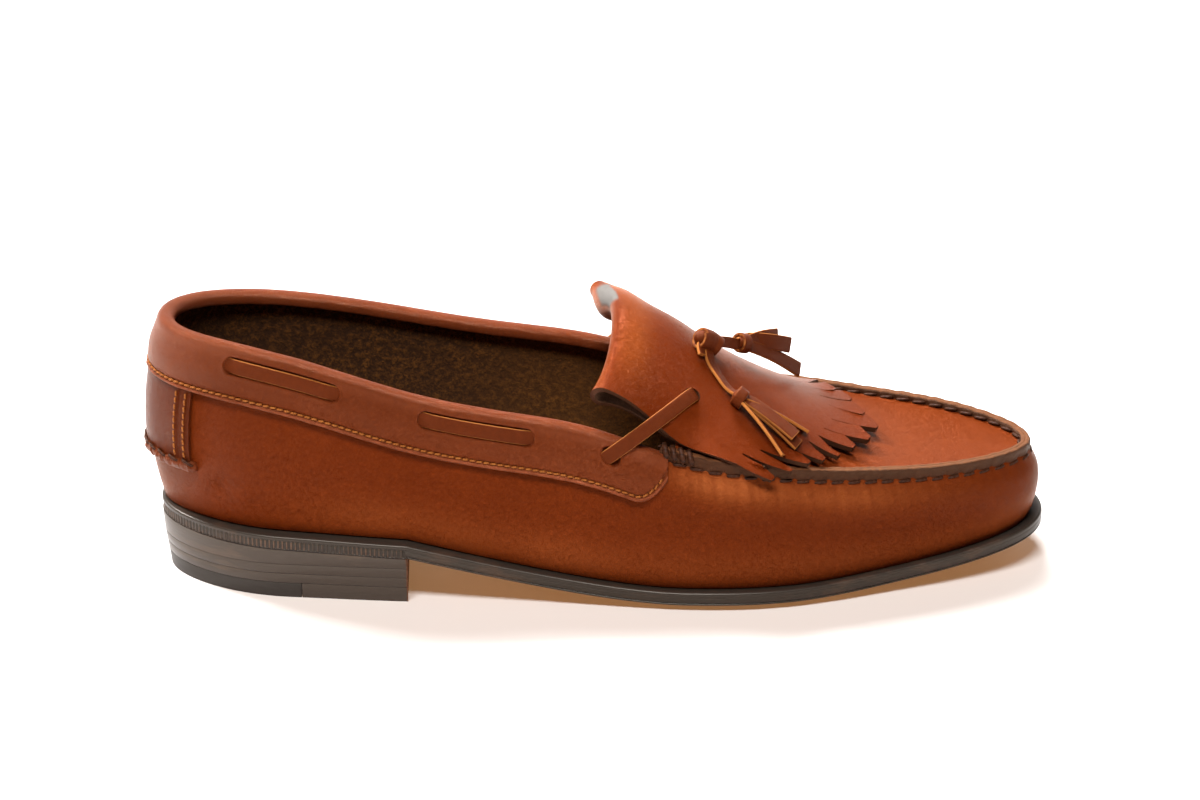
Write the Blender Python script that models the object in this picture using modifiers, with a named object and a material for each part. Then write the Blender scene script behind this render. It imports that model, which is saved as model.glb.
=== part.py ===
"""Right-foot moccasin loafer with a leather sole, a stacked heel, a laced collar band and a fringed flap.

Blender script in metres. +X points to the toe, -Y to the outer side of the foot, +Z up.
The floor is Z = 0.
"""

import math
from collections import namedtuple

import bmesh
import bpy
import numpy as np
from mathutils import Matrix, Vector

MM = 0.001

# Driving dimensions
SOLE_LENGTH = 294.5 * MM
GAP = 0.3 * MM

# Sole
SOLE_THICK = 4.8 * MM
SOLE_EDGE_ROUND = 0.8 * MM
SEAT_BACK_Z = 20.0 * MM
SEAT_FRONT_Z = 16.6 * MM
HEEL_LENGTH = 82 * MM
WAIST_SLOPE = -0.25
TREAD_BACK_X = 177 * MM
TREAD_FRONT_X = 208 * MM
TOE_SPRING = 9.5 * MM
SPRING_POWER = 1.7
EDGE_LIFT = 2.0 * MM
TREAD_SHARE = 0.62
HEEL_ROUND = 42 * MM
TOE_ROUND = 44 * MM
ROUND_POWER = 2.15

# Heel
TOP_PIECE_THICK = 5.5 * MM
HEEL_LIFTS = 3
HEEL_TAPER = 2.2 * MM
RUBBER_LENGTH = 47 * MM

# Upper
WALL = 2.0 * MM
FEATHER_INSET = 4.2 * MM
FEATHER_BACK_INSET = 1.0 * MM
INSOLE_THICK = 2.5 * MM
THROAT_X = 166 * MM
TOP_BACK_X = 3.6 * MM
TOP_TOE_X = 288 * MM
BELLY_BACK_X = -5.8 * MM
BELLY_TOE_X = 295 * MM
SHOULDER_BACK_X = -2.9 * MM
SHOULDER_TOE_X = 293 * MM

# Collar band, heel patch and seams
BAND_HEIGHT = 18.5 * MM
BAND_THICK = 1.5 * MM
BAND_FRONT_X = 167 * MM
BAND_CORNER = 11 * MM
BAND_CORNER_RISE = 10.2 * MM
PATCH_FRONT_X = 18 * MM
PATCH_LOW_Z = 46.5 * MM
HEEL_SEAM_LOW_Z = 42.5 * MM
SEAM_THICK = 1.7 * MM
SEAM_HALF_WIDTH = 1.9 * MM

# Flap with its fringe
FLAP_THICK = 1.7 * MM
FLAP_ROLL = 2.6 * MM
FLAP_FOLD_X = 153 * MM
FLAP_FOLD_FLARE = 5.0 * MM
FLAP_LEAF_STEP = 2.3 * MM
FRINGE_STRIPS = 12
FRINGE_SLIT = 0.7 * MM
FRINGE_DEPTH = 13 * MM
FRINGE_APEX_X = 240 * MM
FRINGE_OUTER_X = 201 * MM
FRINGE_INNER_X = 219 * MM
FRINGE_APEX_SHARE = -0.08
FLAP_THROAT_X = 168 * MM
FLAP_HOLE_X = 175.0 * MM
FLAP_HOLE_SHARE = 0.662
FLAP_HOLE_RADIUS = 2.9 * MM

# Lace and tassels
LACE_WIDTH = 4.8 * MM
LACE_THICK = 1.3 * MM
LACE_DROP = 6.8 * MM
BAR_SPANS = ((27 * MM, 62 * MM), (88 * MM, 124 * MM))
TASSEL_WIDTH = 3.8 * MM
STRAP_START_X = 147 * MM
STRAP_DROP = 8 * MM
STRAP_EDGE_X = 161 * MM
STRAP_ABOVE = 2.2 * MM
KNOT_SIZE = (6.2 * MM, 4.2 * MM, 3.4 * MM)
WRAP_RADIUS = 2.9 * MM
WRAP_LENGTH = 5.5 * MM

# Places of the knot, lace ends and tassels on the flap: length, share across and millimetres above it.
LacePoint = namedtuple("LacePoint", "x share above")
Tassel = namedtuple("Tassel", "cord wrap tips")
KNOT = LacePoint(178.6, -0.108, 3.8)
OUTER_TASSEL = Tassel(
    cord=(LacePoint(180.6, -0.225, 1.35), LacePoint(184.0, -0.37, 1.1), LacePoint(187.2, -0.463, 1.5)),
    wrap=LacePoint(189.5, -0.53, 3.0),
    tips=(LacePoint(203.9, -0.89, 1.2), LacePoint(206.5, -0.708, 2.6), LacePoint(212.1, -0.553, 1.4)),
)
INNER_TASSEL = Tassel(
    cord=(LacePoint(182.4, -0.012, 4.5), LacePoint(185.4, 0.065, 5.0), LacePoint(188.3, 0.135, 5.35)),
    wrap=LacePoint(190.1, 0.209, 5.8),
    tips=(LacePoint(205.6, 0.527, 10.5), LacePoint(212.1, 0.614, 3.6)),
)

# Colours with roughness
LEATHER_SOLE = ((0.05, 0.035, 0.028), 0.4)
HEEL_STACK = ((0.045, 0.032, 0.026), 0.4)
RUBBER = ((0.03, 0.028, 0.027), 0.6)
LINING = ((0.06, 0.03, 0.012), 0.9)
UPPER_LEATHER = ((0.28, 0.075, 0.02), 0.4)
BAND_LEATHER = ((0.22, 0.06, 0.022), 0.45)
SEAM_LEATHER = ((0.2, 0.055, 0.02), 0.45)
LACE = ((0.24, 0.06, 0.022), 0.5)

# A point inside the shoe, which outer faces turn away from
INSIDE = (120 * MM, 4 * MM, 45 * MM)

# Mesh steps
ALONG = 40
UP = 8
ACROSS = 8

SoleRow = namedtuple("SoleRow", "x outer inner")
SOLE_ROWS = [
    SoleRow(0, 25.5, 26.5),
    SoleRow(25, 30.3, 30.5),
    SoleRow(50, 33.5, 31.8),
    SoleRow(82, 37.0, 31.0),
    SoleRow(112, 38.6, 31.5),
    SoleRow(145, 41.2, 39.0),
    SoleRow(175, 44.4, 49.5),
    SoleRow(197, 44.4, 54.5),
    SoleRow(218, 40.6, 55.0),
    SoleRow(240, 34.2, 51.0),
    SoleRow(262, 28.6, 44.0),
    SoleRow(280, 26.8, 37.5),
    SoleRow(294.5, 27.0, 33.0),
]

# One row per section of the upper, in millimetres. Widths are half widths of the collar or apron seam,
# heights are of that edge above the floor, belly and shoulder say how far the wall's two middle control
# lines stand out.
UpperRow = namedtuple(
    "UpperRow", "x outer inner outer_z inner_z belly belly_rise shoulder shoulder_drop crown"
)
UPPER_ROWS = [
    UpperRow(0, 26.0, 26.0, 91.0, 91.0, 6.0, 24, 7.0, 22, 0),
    UpperRow(28, 27.0, 27.0, 89.5, 87.0, 5.5, 22, 6.0, 22, 0),
    UpperRow(54, 28.2, 28.5, 83.0, 83.3, 5.0, 20, 5.5, 22, 0),
    UpperRow(84, 29.8, 29.7, 73.3, 77.5, 4.5, 18, 5.5, 20, 0),
    UpperRow(113, 31.3, 30.8, 67.3, 71.8, 4.5, 17, 6.0, 18, 4),
    UpperRow(143, 33.4, 33.0, 61.8, 66.0, 5.0, 16, 6.0, 15, 15),
    UpperRow(166, 36.5, 35.5, 54.5, 58.0, 5.5, 16, 5.5, 8, 25),
    UpperRow(183, 37.5, 37.5, 50.0, 51.0, 5.5, 16, 5.5, 5, 18.8),
    UpperRow(203, 36.0, 38.0, 46.5, 46.0, 5.5, 15, 5.0, 3, 11.0),
    UpperRow(223, 32.0, 36.5, 43.5, 43.6, 5.5, 14, 4.5, 2, 4.4),
    UpperRow(243, 27.0, 33.0, 41.3, 41.5, 5.5, 13, 4.5, 2, 0.5),
    UpperRow(265, 21.5, 27.5, 39.5, 40.5, 5.0, 12, 4.5, 2, -0.8),
    UpperRow(288, 17.0, 21.5, 39.0, 39.0, 5.0, 12, 4.5, 2, 0),
]

# Fringed flap: a strip that lies on the apron, rolls over at the throat and runs back down on itself.
# Half widths, edge heights and the crown between them are those of the upper leaf's middle surface.
FlapRow = namedtuple("FlapRow", "x outer inner outer_z inner_z crown")
FLAP_ROWS = [
    FlapRow(144, 32.5, 34.5, 76.0, 84.5, 1.4),
    FlapRow(152, 33.0, 34.5, 72.3, 81.2, 11.9),
    FlapRow(161, 34.0, 34.2, 65.3, 71.9, 17.9),
    FlapRow(170, 36.0, 35.5, 57.6, 61.2, 22.9),
    FlapRow(183, 38.2, 37.2, 54.2, 54.8, 18.0),
    FlapRow(203, 40.0, 34.6, 48.8, 49.4, 11.1),
    FlapRow(223, 37.0, 33.0, 45.2, 46.0, 4.7),
    FlapRow(245, 31.0, 31.5, 43.3, 43.6, 1.3),
]


def spline(xs, values, at):
    """Natural cubic spline through (xs, values), read at the points at."""
    xs = np.asarray(xs, float)
    values = np.asarray(values, float)
    at = np.clip(np.asarray(at, float), xs[0], xs[-1])
    h = np.diff(xs)
    n = len(xs)
    matrix = np.eye(n)
    right = np.zeros(n)
    for i in range(1, n - 1):
        matrix[i, i - 1 : i + 2] = h[i - 1], 2 * (h[i - 1] + h[i]), h[i]
        right[i] = 6 * ((values[i + 1] - values[i]) / h[i] - (values[i] - values[i - 1]) / h[i - 1])
    bend = np.linalg.solve(matrix, right)
    i = np.clip(np.searchsorted(xs, at, side="right") - 1, 0, n - 2)
    a = (xs[i + 1] - at) / h[i]
    b = (at - xs[i]) / h[i]
    curve = ((a**3 - a) * bend[i] + (b**3 - b) * bend[i + 1]) * h[i] ** 2 / 6
    return a * values[i] + b * values[i + 1] + curve


def column(rows, name, at):
    """One named column of a table in millimetres, read in metres at the places at along the shoe."""
    return MM * spline([MM * row.x for row in rows], [getattr(row, name) for row in rows], at)


def rounded_end(x, back, front):
    """Share of the half width left by the rounded heel and toe ends, 0 at both tips and 1 between them."""
    def cap(distance, length):
        d = np.clip(distance / length, 0, 1)
        return (1 - (1 - d) ** ROUND_POWER) ** (1 / ROUND_POWER)

    return cap(x - back, HEEL_ROUND) * cap(front - x, TOE_ROUND)


def stations(back, front, shares):
    """Places along the shoe, closer together at both rounded ends."""
    return back + (front - back) * (1 - np.cos(math.pi * np.asarray(shares))) / 2


def sole_bottom(x):
    """Height of the sole's underside along the shoe: heel seat, waist, flat tread and toe spring."""
    x = np.asarray(x, float)
    seat = SEAT_BACK_Z + (SEAT_FRONT_Z - SEAT_BACK_Z) * x / HEEL_LENGTH
    t = np.clip((x - HEEL_LENGTH) / (TREAD_BACK_X - HEEL_LENGTH), 0, 1)
    slope = WAIST_SLOPE * (TREAD_BACK_X - HEEL_LENGTH)
    waist = SEAT_FRONT_Z * (2 * t**3 - 3 * t**2 + 1) + slope * (t**3 - 2 * t**2 + t)
    spring = TOE_SPRING * np.clip((x - TREAD_FRONT_X) / (SOLE_LENGTH - TREAD_FRONT_X), 0, 1) ** SPRING_POWER
    return np.where(x < HEEL_LENGTH, seat, waist) + spring


def edge_lift(x, share):
    """How far the forefoot's underside curves up towards its edges, where share is 1."""
    fore = np.clip((np.asarray(x) - HEEL_LENGTH) / (TREAD_BACK_X - HEEL_LENGTH), 0, 1)
    return EDGE_LIFT * fore * np.clip((np.abs(share) - TREAD_SHARE) / (1 - TREAD_SHARE), 0, 1) ** 2


def sole_half_widths(x, inset=0.0):
    """Outer and inner half widths of the sole's outline, drawn in by inset."""
    cap = rounded_end(x, inset, SOLE_LENGTH - inset)
    outer = (column(SOLE_ROWS, "outer", x) - inset) * cap
    inner = (column(SOLE_ROWS, "inner", x) - inset) * cap
    return outer, inner


def ring(back, front, outer, inner, outer_z, inner_z, shares):
    """Closed line round the shoe, from the heel along the outer side to the toe and back inside."""
    x = stations(back, front, shares)
    cap = rounded_end(x, back, front)
    out = np.stack([x, -outer(x) * cap, outer_z(x)], -1)
    inn = np.stack([x, inner(x) * cap, inner_z(x)], -1)
    return np.concatenate([out, inn[-2:0:-1]])


def upper_rings(shares):
    """The four control lines of the upper's wall: feather, belly, shoulder and top edge."""
    def feather_z(side):
        def height(x):
            share = 1 - FEATHER_INSET / column(SOLE_ROWS, side, x)
            return sole_bottom(x) + edge_lift(x, share) + SOLE_THICK + 2 * GAP
        return height

    def sole(side):
        return lambda x: column(SOLE_ROWS, side, x) - FEATHER_INSET

    def upper(name):
        return lambda x: column(UPPER_ROWS, name, x)

    def belly(side):
        return lambda x: column(SOLE_ROWS, side, x) - FEATHER_INSET + column(UPPER_ROWS, "belly", x)

    def belly_z(side):
        return lambda x: feather_z(side)(x) + column(UPPER_ROWS, "belly_rise", x)

    def shoulder(side):
        return lambda x: column(UPPER_ROWS, side, x) + column(UPPER_ROWS, "shoulder", x)

    def shoulder_z(side):
        return lambda x: column(UPPER_ROWS, side + "_z", x) - column(UPPER_ROWS, "shoulder_drop", x)

    return [
        ring(FEATHER_BACK_INSET, SOLE_LENGTH - FEATHER_INSET, sole("outer"), sole("inner"),
             feather_z("outer"), feather_z("inner"), shares),
        ring(BELLY_BACK_X, BELLY_TOE_X, belly("outer"), belly("inner"), belly_z("outer"),
             belly_z("inner"), shares),
        ring(SHOULDER_BACK_X, SHOULDER_TOE_X, shoulder("outer"), shoulder("inner"), shoulder_z("outer"),
             shoulder_z("inner"), shares),
        ring(TOP_BACK_X, TOP_TOE_X, upper("outer"), upper("inner"), upper("outer_z"),
             upper("inner_z"), shares),
    ]


def wall_points(rings, t):
    """Points of the wall at shares t of the way up from the feather line, on cubic Bezier profiles."""
    t = np.asarray(t, float)[..., None]
    weights = ((1 - t) ** 3, 3 * t * (1 - t) ** 2, 3 * t**2 * (1 - t), t**3)
    return sum(w * r for w, r in zip(weights, rings))


def grid_normals(points):
    """Unit normals of a grid of points, taken as the second index across the first."""
    along = np.gradient(points, axis=0)
    up = np.gradient(points, axis=1)
    normal = np.cross(along, up)
    return normal / np.maximum(np.linalg.norm(normal, axis=-1, keepdims=True), 1e-12)


def collection(name):
    """A named collection in the scene."""
    made = bpy.data.collections.new(name)
    bpy.context.scene.collection.children.link(made)
    return made


def material(name, colour, roughness):
    """A plain Principled material."""
    made = bpy.data.materials.new(name)
    made.use_nodes = True
    shader = made.node_tree.nodes["Principled BSDF"]
    shader.inputs["Base Color"].default_value = (*colour, 1)
    shader.inputs["Roughness"].default_value = roughness
    return made


def mesh_object(name, points, faces, finish, place):
    """A mesh from points and faces, with points that coincide joined and normals turned outward."""
    mesh = bpy.data.meshes.new(name)
    mesh.from_pydata([tuple(p) for p in np.asarray(points, float)], [], faces)
    work = bmesh.new()
    work.from_mesh(mesh)
    bmesh.ops.remove_doubles(work, verts=work.verts, dist=1e-6)
    bmesh.ops.recalc_face_normals(work, faces=work.faces)
    work.to_mesh(mesh)
    work.free()
    made = bpy.data.objects.new(name, mesh)
    made.data.materials.append(material(name, *finish))
    place.objects.link(made)
    return made


def grid_faces(rows, columns, closed=False, start=0, skip=()):
    """Quads of a grid of rows by columns, joined round its columns when closed."""
    last = columns if closed else columns - 1
    return [
        (start + r * columns + c, start + r * columns + (c + 1) % columns,
         start + (r + 1) * columns + (c + 1) % columns, start + (r + 1) * columns + c)
        for r in range(rows - 1) for c in range(last) if (r, c) not in skip
    ]


def tube(name, lines, finish, place, cap_start=False, cap_end=False):
    """A closed solid through lines that run along the shoe, given in order round its section."""
    lines = np.asarray(lines)
    count, steps = lines.shape[:2]
    points = lines.transpose(1, 0, 2).reshape(-1, 3)
    faces = grid_faces(steps, count, closed=True)
    if cap_start:
        faces.append(tuple(range(count)))
    if cap_end:
        faces.append(tuple((steps - 1) * count + i for i in range(count)))
    return mesh_object(name, points, faces, finish, place)


def thicken(made, thickness, side):
    """Solidify: side -1 grows inward from the faces, 1 outward, 0 to both sides."""
    modifier = made.modifiers.new("thickness", "SOLIDIFY")
    modifier.thickness = thickness
    modifier.offset = side
    modifier.use_even_offset = True
    modifier.use_quality_normals = True
    return made


def face_away(made, centre):
    """Turns an open surface's normals away from a point."""
    mesh = made.data
    total = sum((face.center - Vector(centre)).dot(face.normal) * face.area for face in mesh.polygons)
    if total < 0:
        mesh.flip_normals()


def ribbon(name, path, side, width, thick, finish, place):
    """A flat strap along a path, with side pointing across it."""
    path = np.asarray(path)
    tangent = np.gradient(path, axis=0)
    tangent /= np.linalg.norm(tangent, axis=1, keepdims=True)
    side = np.broadcast_to(np.asarray(side, float), path.shape)
    side = side - tangent * np.sum(side * tangent, 1, keepdims=True)
    side = side / np.linalg.norm(side, axis=1, keepdims=True)
    face = np.cross(side, tangent)
    w, h = side * width / 2, face * thick / 2
    lines = [path - w - h, path + w - h, path + w + h, path - w + h]
    return tube(name, lines, finish, place, cap_start=True, cap_end=True)


def round_bar(name, centre, axis, radius, length, finish, place):
    """A cylinder about an axis through its centre."""
    work = bmesh.new()
    bmesh.ops.create_cone(work, cap_ends=True, segments=14, radius1=radius, radius2=radius, depth=length)
    mesh = bpy.data.meshes.new(name)
    work.to_mesh(mesh)
    work.free()
    turn = Vector((0, 0, 1)).rotation_difference(Vector(axis)).to_matrix().to_4x4()
    mesh.transform(turn)
    mesh.transform(Matrix.Translation(Vector(centre)))
    made = bpy.data.objects.new(name, mesh)
    made.data.materials.append(material(name, *finish))
    place.objects.link(made)
    return made


def combine(made, other, operation):
    """Boolean of two solids; the other one stays as a hidden cutter."""
    modifier = made.modifiers.new(other.name, "BOOLEAN")
    modifier.operation = operation
    modifier.solver = "EXACT"
    modifier.object = other
    other.hide_render = True
    other.display_type = "WIRE"


def build_outsole(place):
    """Leather outsole with a flat tread, raised edges, arch and toe spring."""
    shares = np.linspace(0, 1, ALONG + 1)

    def line(inset, share, lift):
        x = stations(inset, SOLE_LENGTH - inset, shares)
        outer, inner = sole_half_widths(x, inset)
        y = share * (outer if share < 0 else inner)
        return np.stack([x, y, sole_bottom(x) + edge_lift(x, share) + lift], -1)

    across = (-1, -0.81, -TREAD_SHARE, TREAD_SHARE, 0.81, 1)
    r = SOLE_EDGE_ROUND
    lines = [line(r, share, 0) for share in across]
    lines += [line(0, 1, r), line(0, 1, SOLE_THICK - r)]
    lines += [line(r, share, SOLE_THICK) for share in across[::-1]]
    lines += [line(0, -1, SOLE_THICK - r), line(0, -1, r)]
    return tube("outsole", lines, LEATHER_SOLE, place)


def heel_lines(low, high, inset_low, inset_high, back, front, steps):
    """Four lines of a heel layer between two heights, from its back or a cut across it to its front."""
    turn = (1 - np.cos(np.linspace(0, math.pi / 2, steps))) if back is None else np.linspace(0, 1, steps)

    def line(side, inset, height):
        start = inset if back is None else back
        x = start + (front - start) * turn
        outer, inner = sole_half_widths(x, inset)
        y = -outer if side < 0 else inner
        return np.stack([x, y, height(x)], -1)

    lower = [line(-1, inset_low, low), line(1, inset_low, low)]
    return lower + [line(1, inset_high, high), line(-1, inset_high, high)]


def build_heel(place):
    """Stacked leather lifts under the seat, then a top piece of leather in front and rubber behind."""
    def level(z):
        return lambda x: np.full_like(x, z)

    def inset(z):
        return HEEL_TAPER * (1 - z / SEAT_FRONT_Z) if z < SEAT_FRONT_Z else 0.0

    base = TOP_PIECE_THICK + GAP
    step = (SEAT_FRONT_Z - base) / HEEL_LIFTS
    for k in range(HEEL_LIFTS):
        low, high = base + k * step, base + (k + 1) * step - GAP
        top = level(high) if k < HEEL_LIFTS - 1 else (lambda x: sole_bottom(x) - GAP)
        lines = heel_lines(level(low), top, inset(low), inset(high), None, HEEL_LENGTH, 18)
        tube("heel_lift_%d" % (k + 1), lines, HEEL_STACK, place, cap_end=True)
    tread = (level(0), level(TOP_PIECE_THICK), inset(0), inset(TOP_PIECE_THICK))
    lines = heel_lines(*tread, None, RUBBER_LENGTH, 16)
    tube("heel_rubber_tip", lines, RUBBER, place, cap_end=True)
    lines = heel_lines(*tread, RUBBER_LENGTH + GAP, HEEL_LENGTH, 6)
    tube("heel_top_piece", lines, HEEL_STACK, place, cap_start=True, cap_end=True)


def build_insole(place):
    """Insole board on the sole, inside the wall."""
    shares = np.linspace(0, 1, ALONG + 1)
    inset = FEATHER_INSET + WALL + 2 * GAP

    def line(share, lift):
        x = stations(inset, SOLE_LENGTH - inset, shares)
        outer, inner = sole_half_widths(x, inset)
        wide_outer, wide_inner = sole_half_widths(x)
        y = share * (outer if share < 0 else inner)
        edge = np.abs(y) / np.maximum(wide_outer if share < 0 else wide_inner, 1e-9)
        return np.stack([x, y, sole_bottom(x) + edge_lift(x, edge) + SOLE_THICK + 2 * GAP + lift], -1)

    across = (-1, -0.75, 0.75, 1)
    lines = [line(share, 0) for share in across] + [line(share, INSOLE_THICK) for share in across[::-1]]
    return tube("insole", lines, LINING, place)


def upper_grid(up):
    """Wall points of the upper, one row per level and one column per station round the shoe."""
    rings = upper_rings(np.linspace(0, 1, ALONG + 1))
    return np.stack([wall_points(rings, np.full(2 * ALONG, t)) for t in np.linspace(0, 1, up + 1)])


def throat_index():
    """First station of the top edge in front of the throat."""
    return int(np.argmax(stations(TOP_BACK_X, TOP_TOE_X, np.linspace(0, 1, ALONG + 1)) >= THROAT_X))


def apron_rows(top, shares):
    """Points across the apron from the throat to the toe, at shares from -1 outside to 1 inside."""
    first = throat_index()
    outer = top[first : ALONG + 1]
    inner = top[np.arange(2 * ALONG - first, ALONG - 1, -1) % (2 * ALONG)]
    shares = np.asarray(shares, float)[None, :, None]
    rows = outer[:, None] * (1 - shares) / 2 + inner[:, None] * (1 + shares) / 2
    rows[..., 2] += column(UPPER_ROWS, "crown", outer[:, 0])[:, None] * (1 - shares[..., 0] ** 2)
    return rows


def build_upper(place):
    """Vamp, quarters and apron as one hollow shell, open at the collar and underneath."""
    wall = upper_grid(UP)
    levels, columns = wall.shape[:2]
    points = list(wall.reshape(-1, 3))
    faces = grid_faces(levels, columns, closed=True)
    first = throat_index()
    rows = apron_rows(wall[-1], np.linspace(-1, 1, ACROSS + 1))
    top = (levels - 1) * columns
    index = []
    for r, row in enumerate(rows):
        i = first + r
        ids = [top + i]
        if r < len(rows) - 1:
            for point in row[1:-1]:
                ids.append(len(points))
                points.append(point)
        else:
            ids += [top + i] * (ACROSS - 1)
        ids.append(top + (2 * ALONG - i) % (2 * ALONG))
        index.append(ids)
    for a, b in zip(index, index[1:]):
        for c in range(ACROSS):
            face = []
            for corner in (a[c], a[c + 1], b[c + 1], b[c]):
                if corner not in face:
                    face.append(corner)
            if len(face) > 2:
                faces.append(tuple(face))
    made = mesh_object("upper", points, faces, UPPER_LEATHER, place)
    face_away(made, INSIDE)
    return thicken(made, WALL, -1)


def strip_over(name, points, gap, thick, finish, place):
    """A layer over a grid of points on the upper's outer surface, a gap above it."""
    normal = grid_normals(points)
    centre = np.array(INSIDE)
    if np.sum(normal * (points - centre)) < 0:
        normal = -normal
    raised = points + normal * gap
    made = mesh_object(name, raised.reshape(-1, 3), grid_faces(*points.shape[:2]), finish, place)
    face_away(made, INSIDE)
    return thicken(made, thick, 1)


def columns_round_back(front_x):
    """Signed shares round the heel, from front_x on the outer side to front_x on the inner side."""
    end = math.acos(1 - 2 * (front_x - TOP_BACK_X) / (TOP_TOE_X - TOP_BACK_X)) / math.pi
    return np.linspace(-end, end, 2 * int(round(end * ALONG)) + 1)


def wall_columns(signed):
    """Control points of the wall's profiles at signed shares, negative on the outer side."""
    full = np.unique(np.concatenate([[0.0, 1.0], np.abs(np.round(signed, 9))]))
    rings = upper_rings(full)
    n = len(full)
    chosen = []
    for value in signed:
        i = int(np.argmin(np.abs(full - abs(value))))
        chosen.append(i if value <= 0 else (2 * (n - 1) - i) % (2 * (n - 1)))
    return [ring_points[chosen] for ring_points in rings]


def share_at_height(rings, height):
    """Shares up the wall where each profile passes a height."""
    t = np.linspace(0, 1, 201)
    levels = np.stack([wall_points(rings, np.full(len(height), value))[:, 2] for value in t])
    return np.array([np.interp(h, levels[:, i], t) for i, h in enumerate(height)])


def wall_band(signed, low, high, rows):
    """Grid of wall points between two heights per column."""
    rings = wall_columns(signed)
    t_low, t_high = share_at_height(rings, low), share_at_height(rings, high)
    return np.stack([wall_points(rings, t_low + (t_high - t_low) * f) for f in np.linspace(0, 1, rows)], 1)


def band_low_height(signed):
    """Height of the collar band's lower edge, with a rounded corner at both front ends."""
    rings = wall_columns(signed)
    x, top = rings[3][:, 0], rings[3][:, 2]
    corner = np.clip(1 - (BAND_FRONT_X - x) / BAND_CORNER, 0, 1)
    return top - BAND_HEIGHT + BAND_CORNER_RISE * corner**2, top


def build_overlays(place):
    """Collar band, heel patch, heel seam and the raised apron seam, all laid on the upper's own surface."""
    signed = columns_round_back(BAND_FRONT_X)
    low, top = band_low_height(signed)
    strip_over("collar_band", wall_band(signed, low, top, 5), 2 * GAP, BAND_THICK, BAND_LEATHER, place)

    signed = columns_round_back(PATCH_FRONT_X)
    low, top = band_low_height(signed)
    n = len(signed)
    patch = wall_band(signed, np.full(n, PATCH_LOW_Z), low - 2 * GAP, 4)
    strip_over("heel_patch", patch, GAP, BAND_THICK, BAND_LEATHER, place)
    seam = wall_band(signed, np.full(n, HEEL_SEAM_LOW_Z), np.full(n, PATCH_LOW_Z - 2 * GAP), 3)
    strip_over("heel_seam", seam, GAP, SEAM_THICK, SEAM_LEATHER, place)

    rings = upper_rings(np.linspace(0, 1, ALONG + 1))
    first = throat_index()
    wall = wall_points(rings, np.full(2 * ALONG, 1.0))
    below = wall_points(rings, np.full(2 * ALONG, 0.985))
    drop = below - wall
    drop *= SEAM_HALF_WIDTH / np.linalg.norm(drop, axis=1, keepdims=True)
    rows = apron_rows(wall, (-1, -0.98, 0.98, 1))
    rise = np.concatenate([rows[:, 1, 2] - rows[:, 0, 2], (rows[:, 2, 2] - rows[:, 3, 2])[-2::-1]])
    step = np.abs(np.concatenate([rows[:, 1, 1] - rows[:, 0, 1], (rows[:, 2, 1] - rows[:, 3, 1])[-2::-1]]))
    step[len(rows) - 1] = 1.0
    order = np.arange(first, 2 * ALONG - first + 1) % (2 * ALONG)
    along = np.gradient(wall[order], axis=0)
    ring_in = np.stack([-along[:, 1], along[:, 0], np.zeros(len(order))], -1)
    ring_in /= np.linalg.norm(ring_in, axis=1, keepdims=True)
    ring_in[:, 2] = np.abs(ring_in[:, 1]) * rise / step
    ring_in *= SEAM_HALF_WIDTH / np.linalg.norm(ring_in, axis=1, keepdims=True)
    grid = np.stack([wall[order] + drop[order], wall[order], wall[order] + ring_in], 1)
    strip_over("apron_seam", grid, 1.5 * GAP, SEAM_THICK, SEAM_LEATHER, place)


def flap_surface(x, v):
    """Middle surface of the flap's upper leaf at lengths x and shares v across, -1 outside and 1 inside."""
    outer, inner = column(FLAP_ROWS, "outer", x), column(FLAP_ROWS, "inner", x)
    low, high = column(FLAP_ROWS, "outer_z", x), column(FLAP_ROWS, "inner_z", x)
    y = np.where(v < 0, v * outer, v * inner)
    z = low * (1 - v) / 2 + high * (1 + v) / 2 + column(FLAP_ROWS, "crown", x) * (1 - v**2)
    return np.stack([x, y, z], -1)


def flap_normal(x, v):
    """Upward normals of the flap's upper leaf."""
    d = 0.5 * MM
    along = flap_surface(x + d, v) - flap_surface(x - d, v)
    across = flap_surface(x, np.minimum(v + 0.01, 1)) - flap_surface(x, np.maximum(v - 0.01, -1))
    normal = np.cross(along, across)
    return normal / np.linalg.norm(normal, axis=-1, keepdims=True)


def fringe_tip(v):
    """Length at which the flap's cut front edge ends, at shares v across."""
    apex = FRINGE_APEX_SHARE
    outside = np.clip((apex - v) / (1 + apex), 0, 1) ** 1.9
    inside = np.clip((v - apex) / (1 - apex), 0, 1) ** 1.3
    lost = (FRINGE_APEX_X - FRINGE_OUTER_X) * outside + (FRINGE_APEX_X - FRINGE_INNER_X) * inside
    return FRINGE_APEX_X - lost


def fringe_shares():
    """Shares across the flap of both edges of every fringe strip."""
    slit = FRINGE_SLIT / (68 * MM)
    width = (2 - 2 * slit * (FRINGE_STRIPS - 1)) / FRINGE_STRIPS
    starts = -1 + np.arange(FRINGE_STRIPS) * (width + 2 * slit)
    return np.stack([starts, starts + width], 1).reshape(-1)


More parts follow.
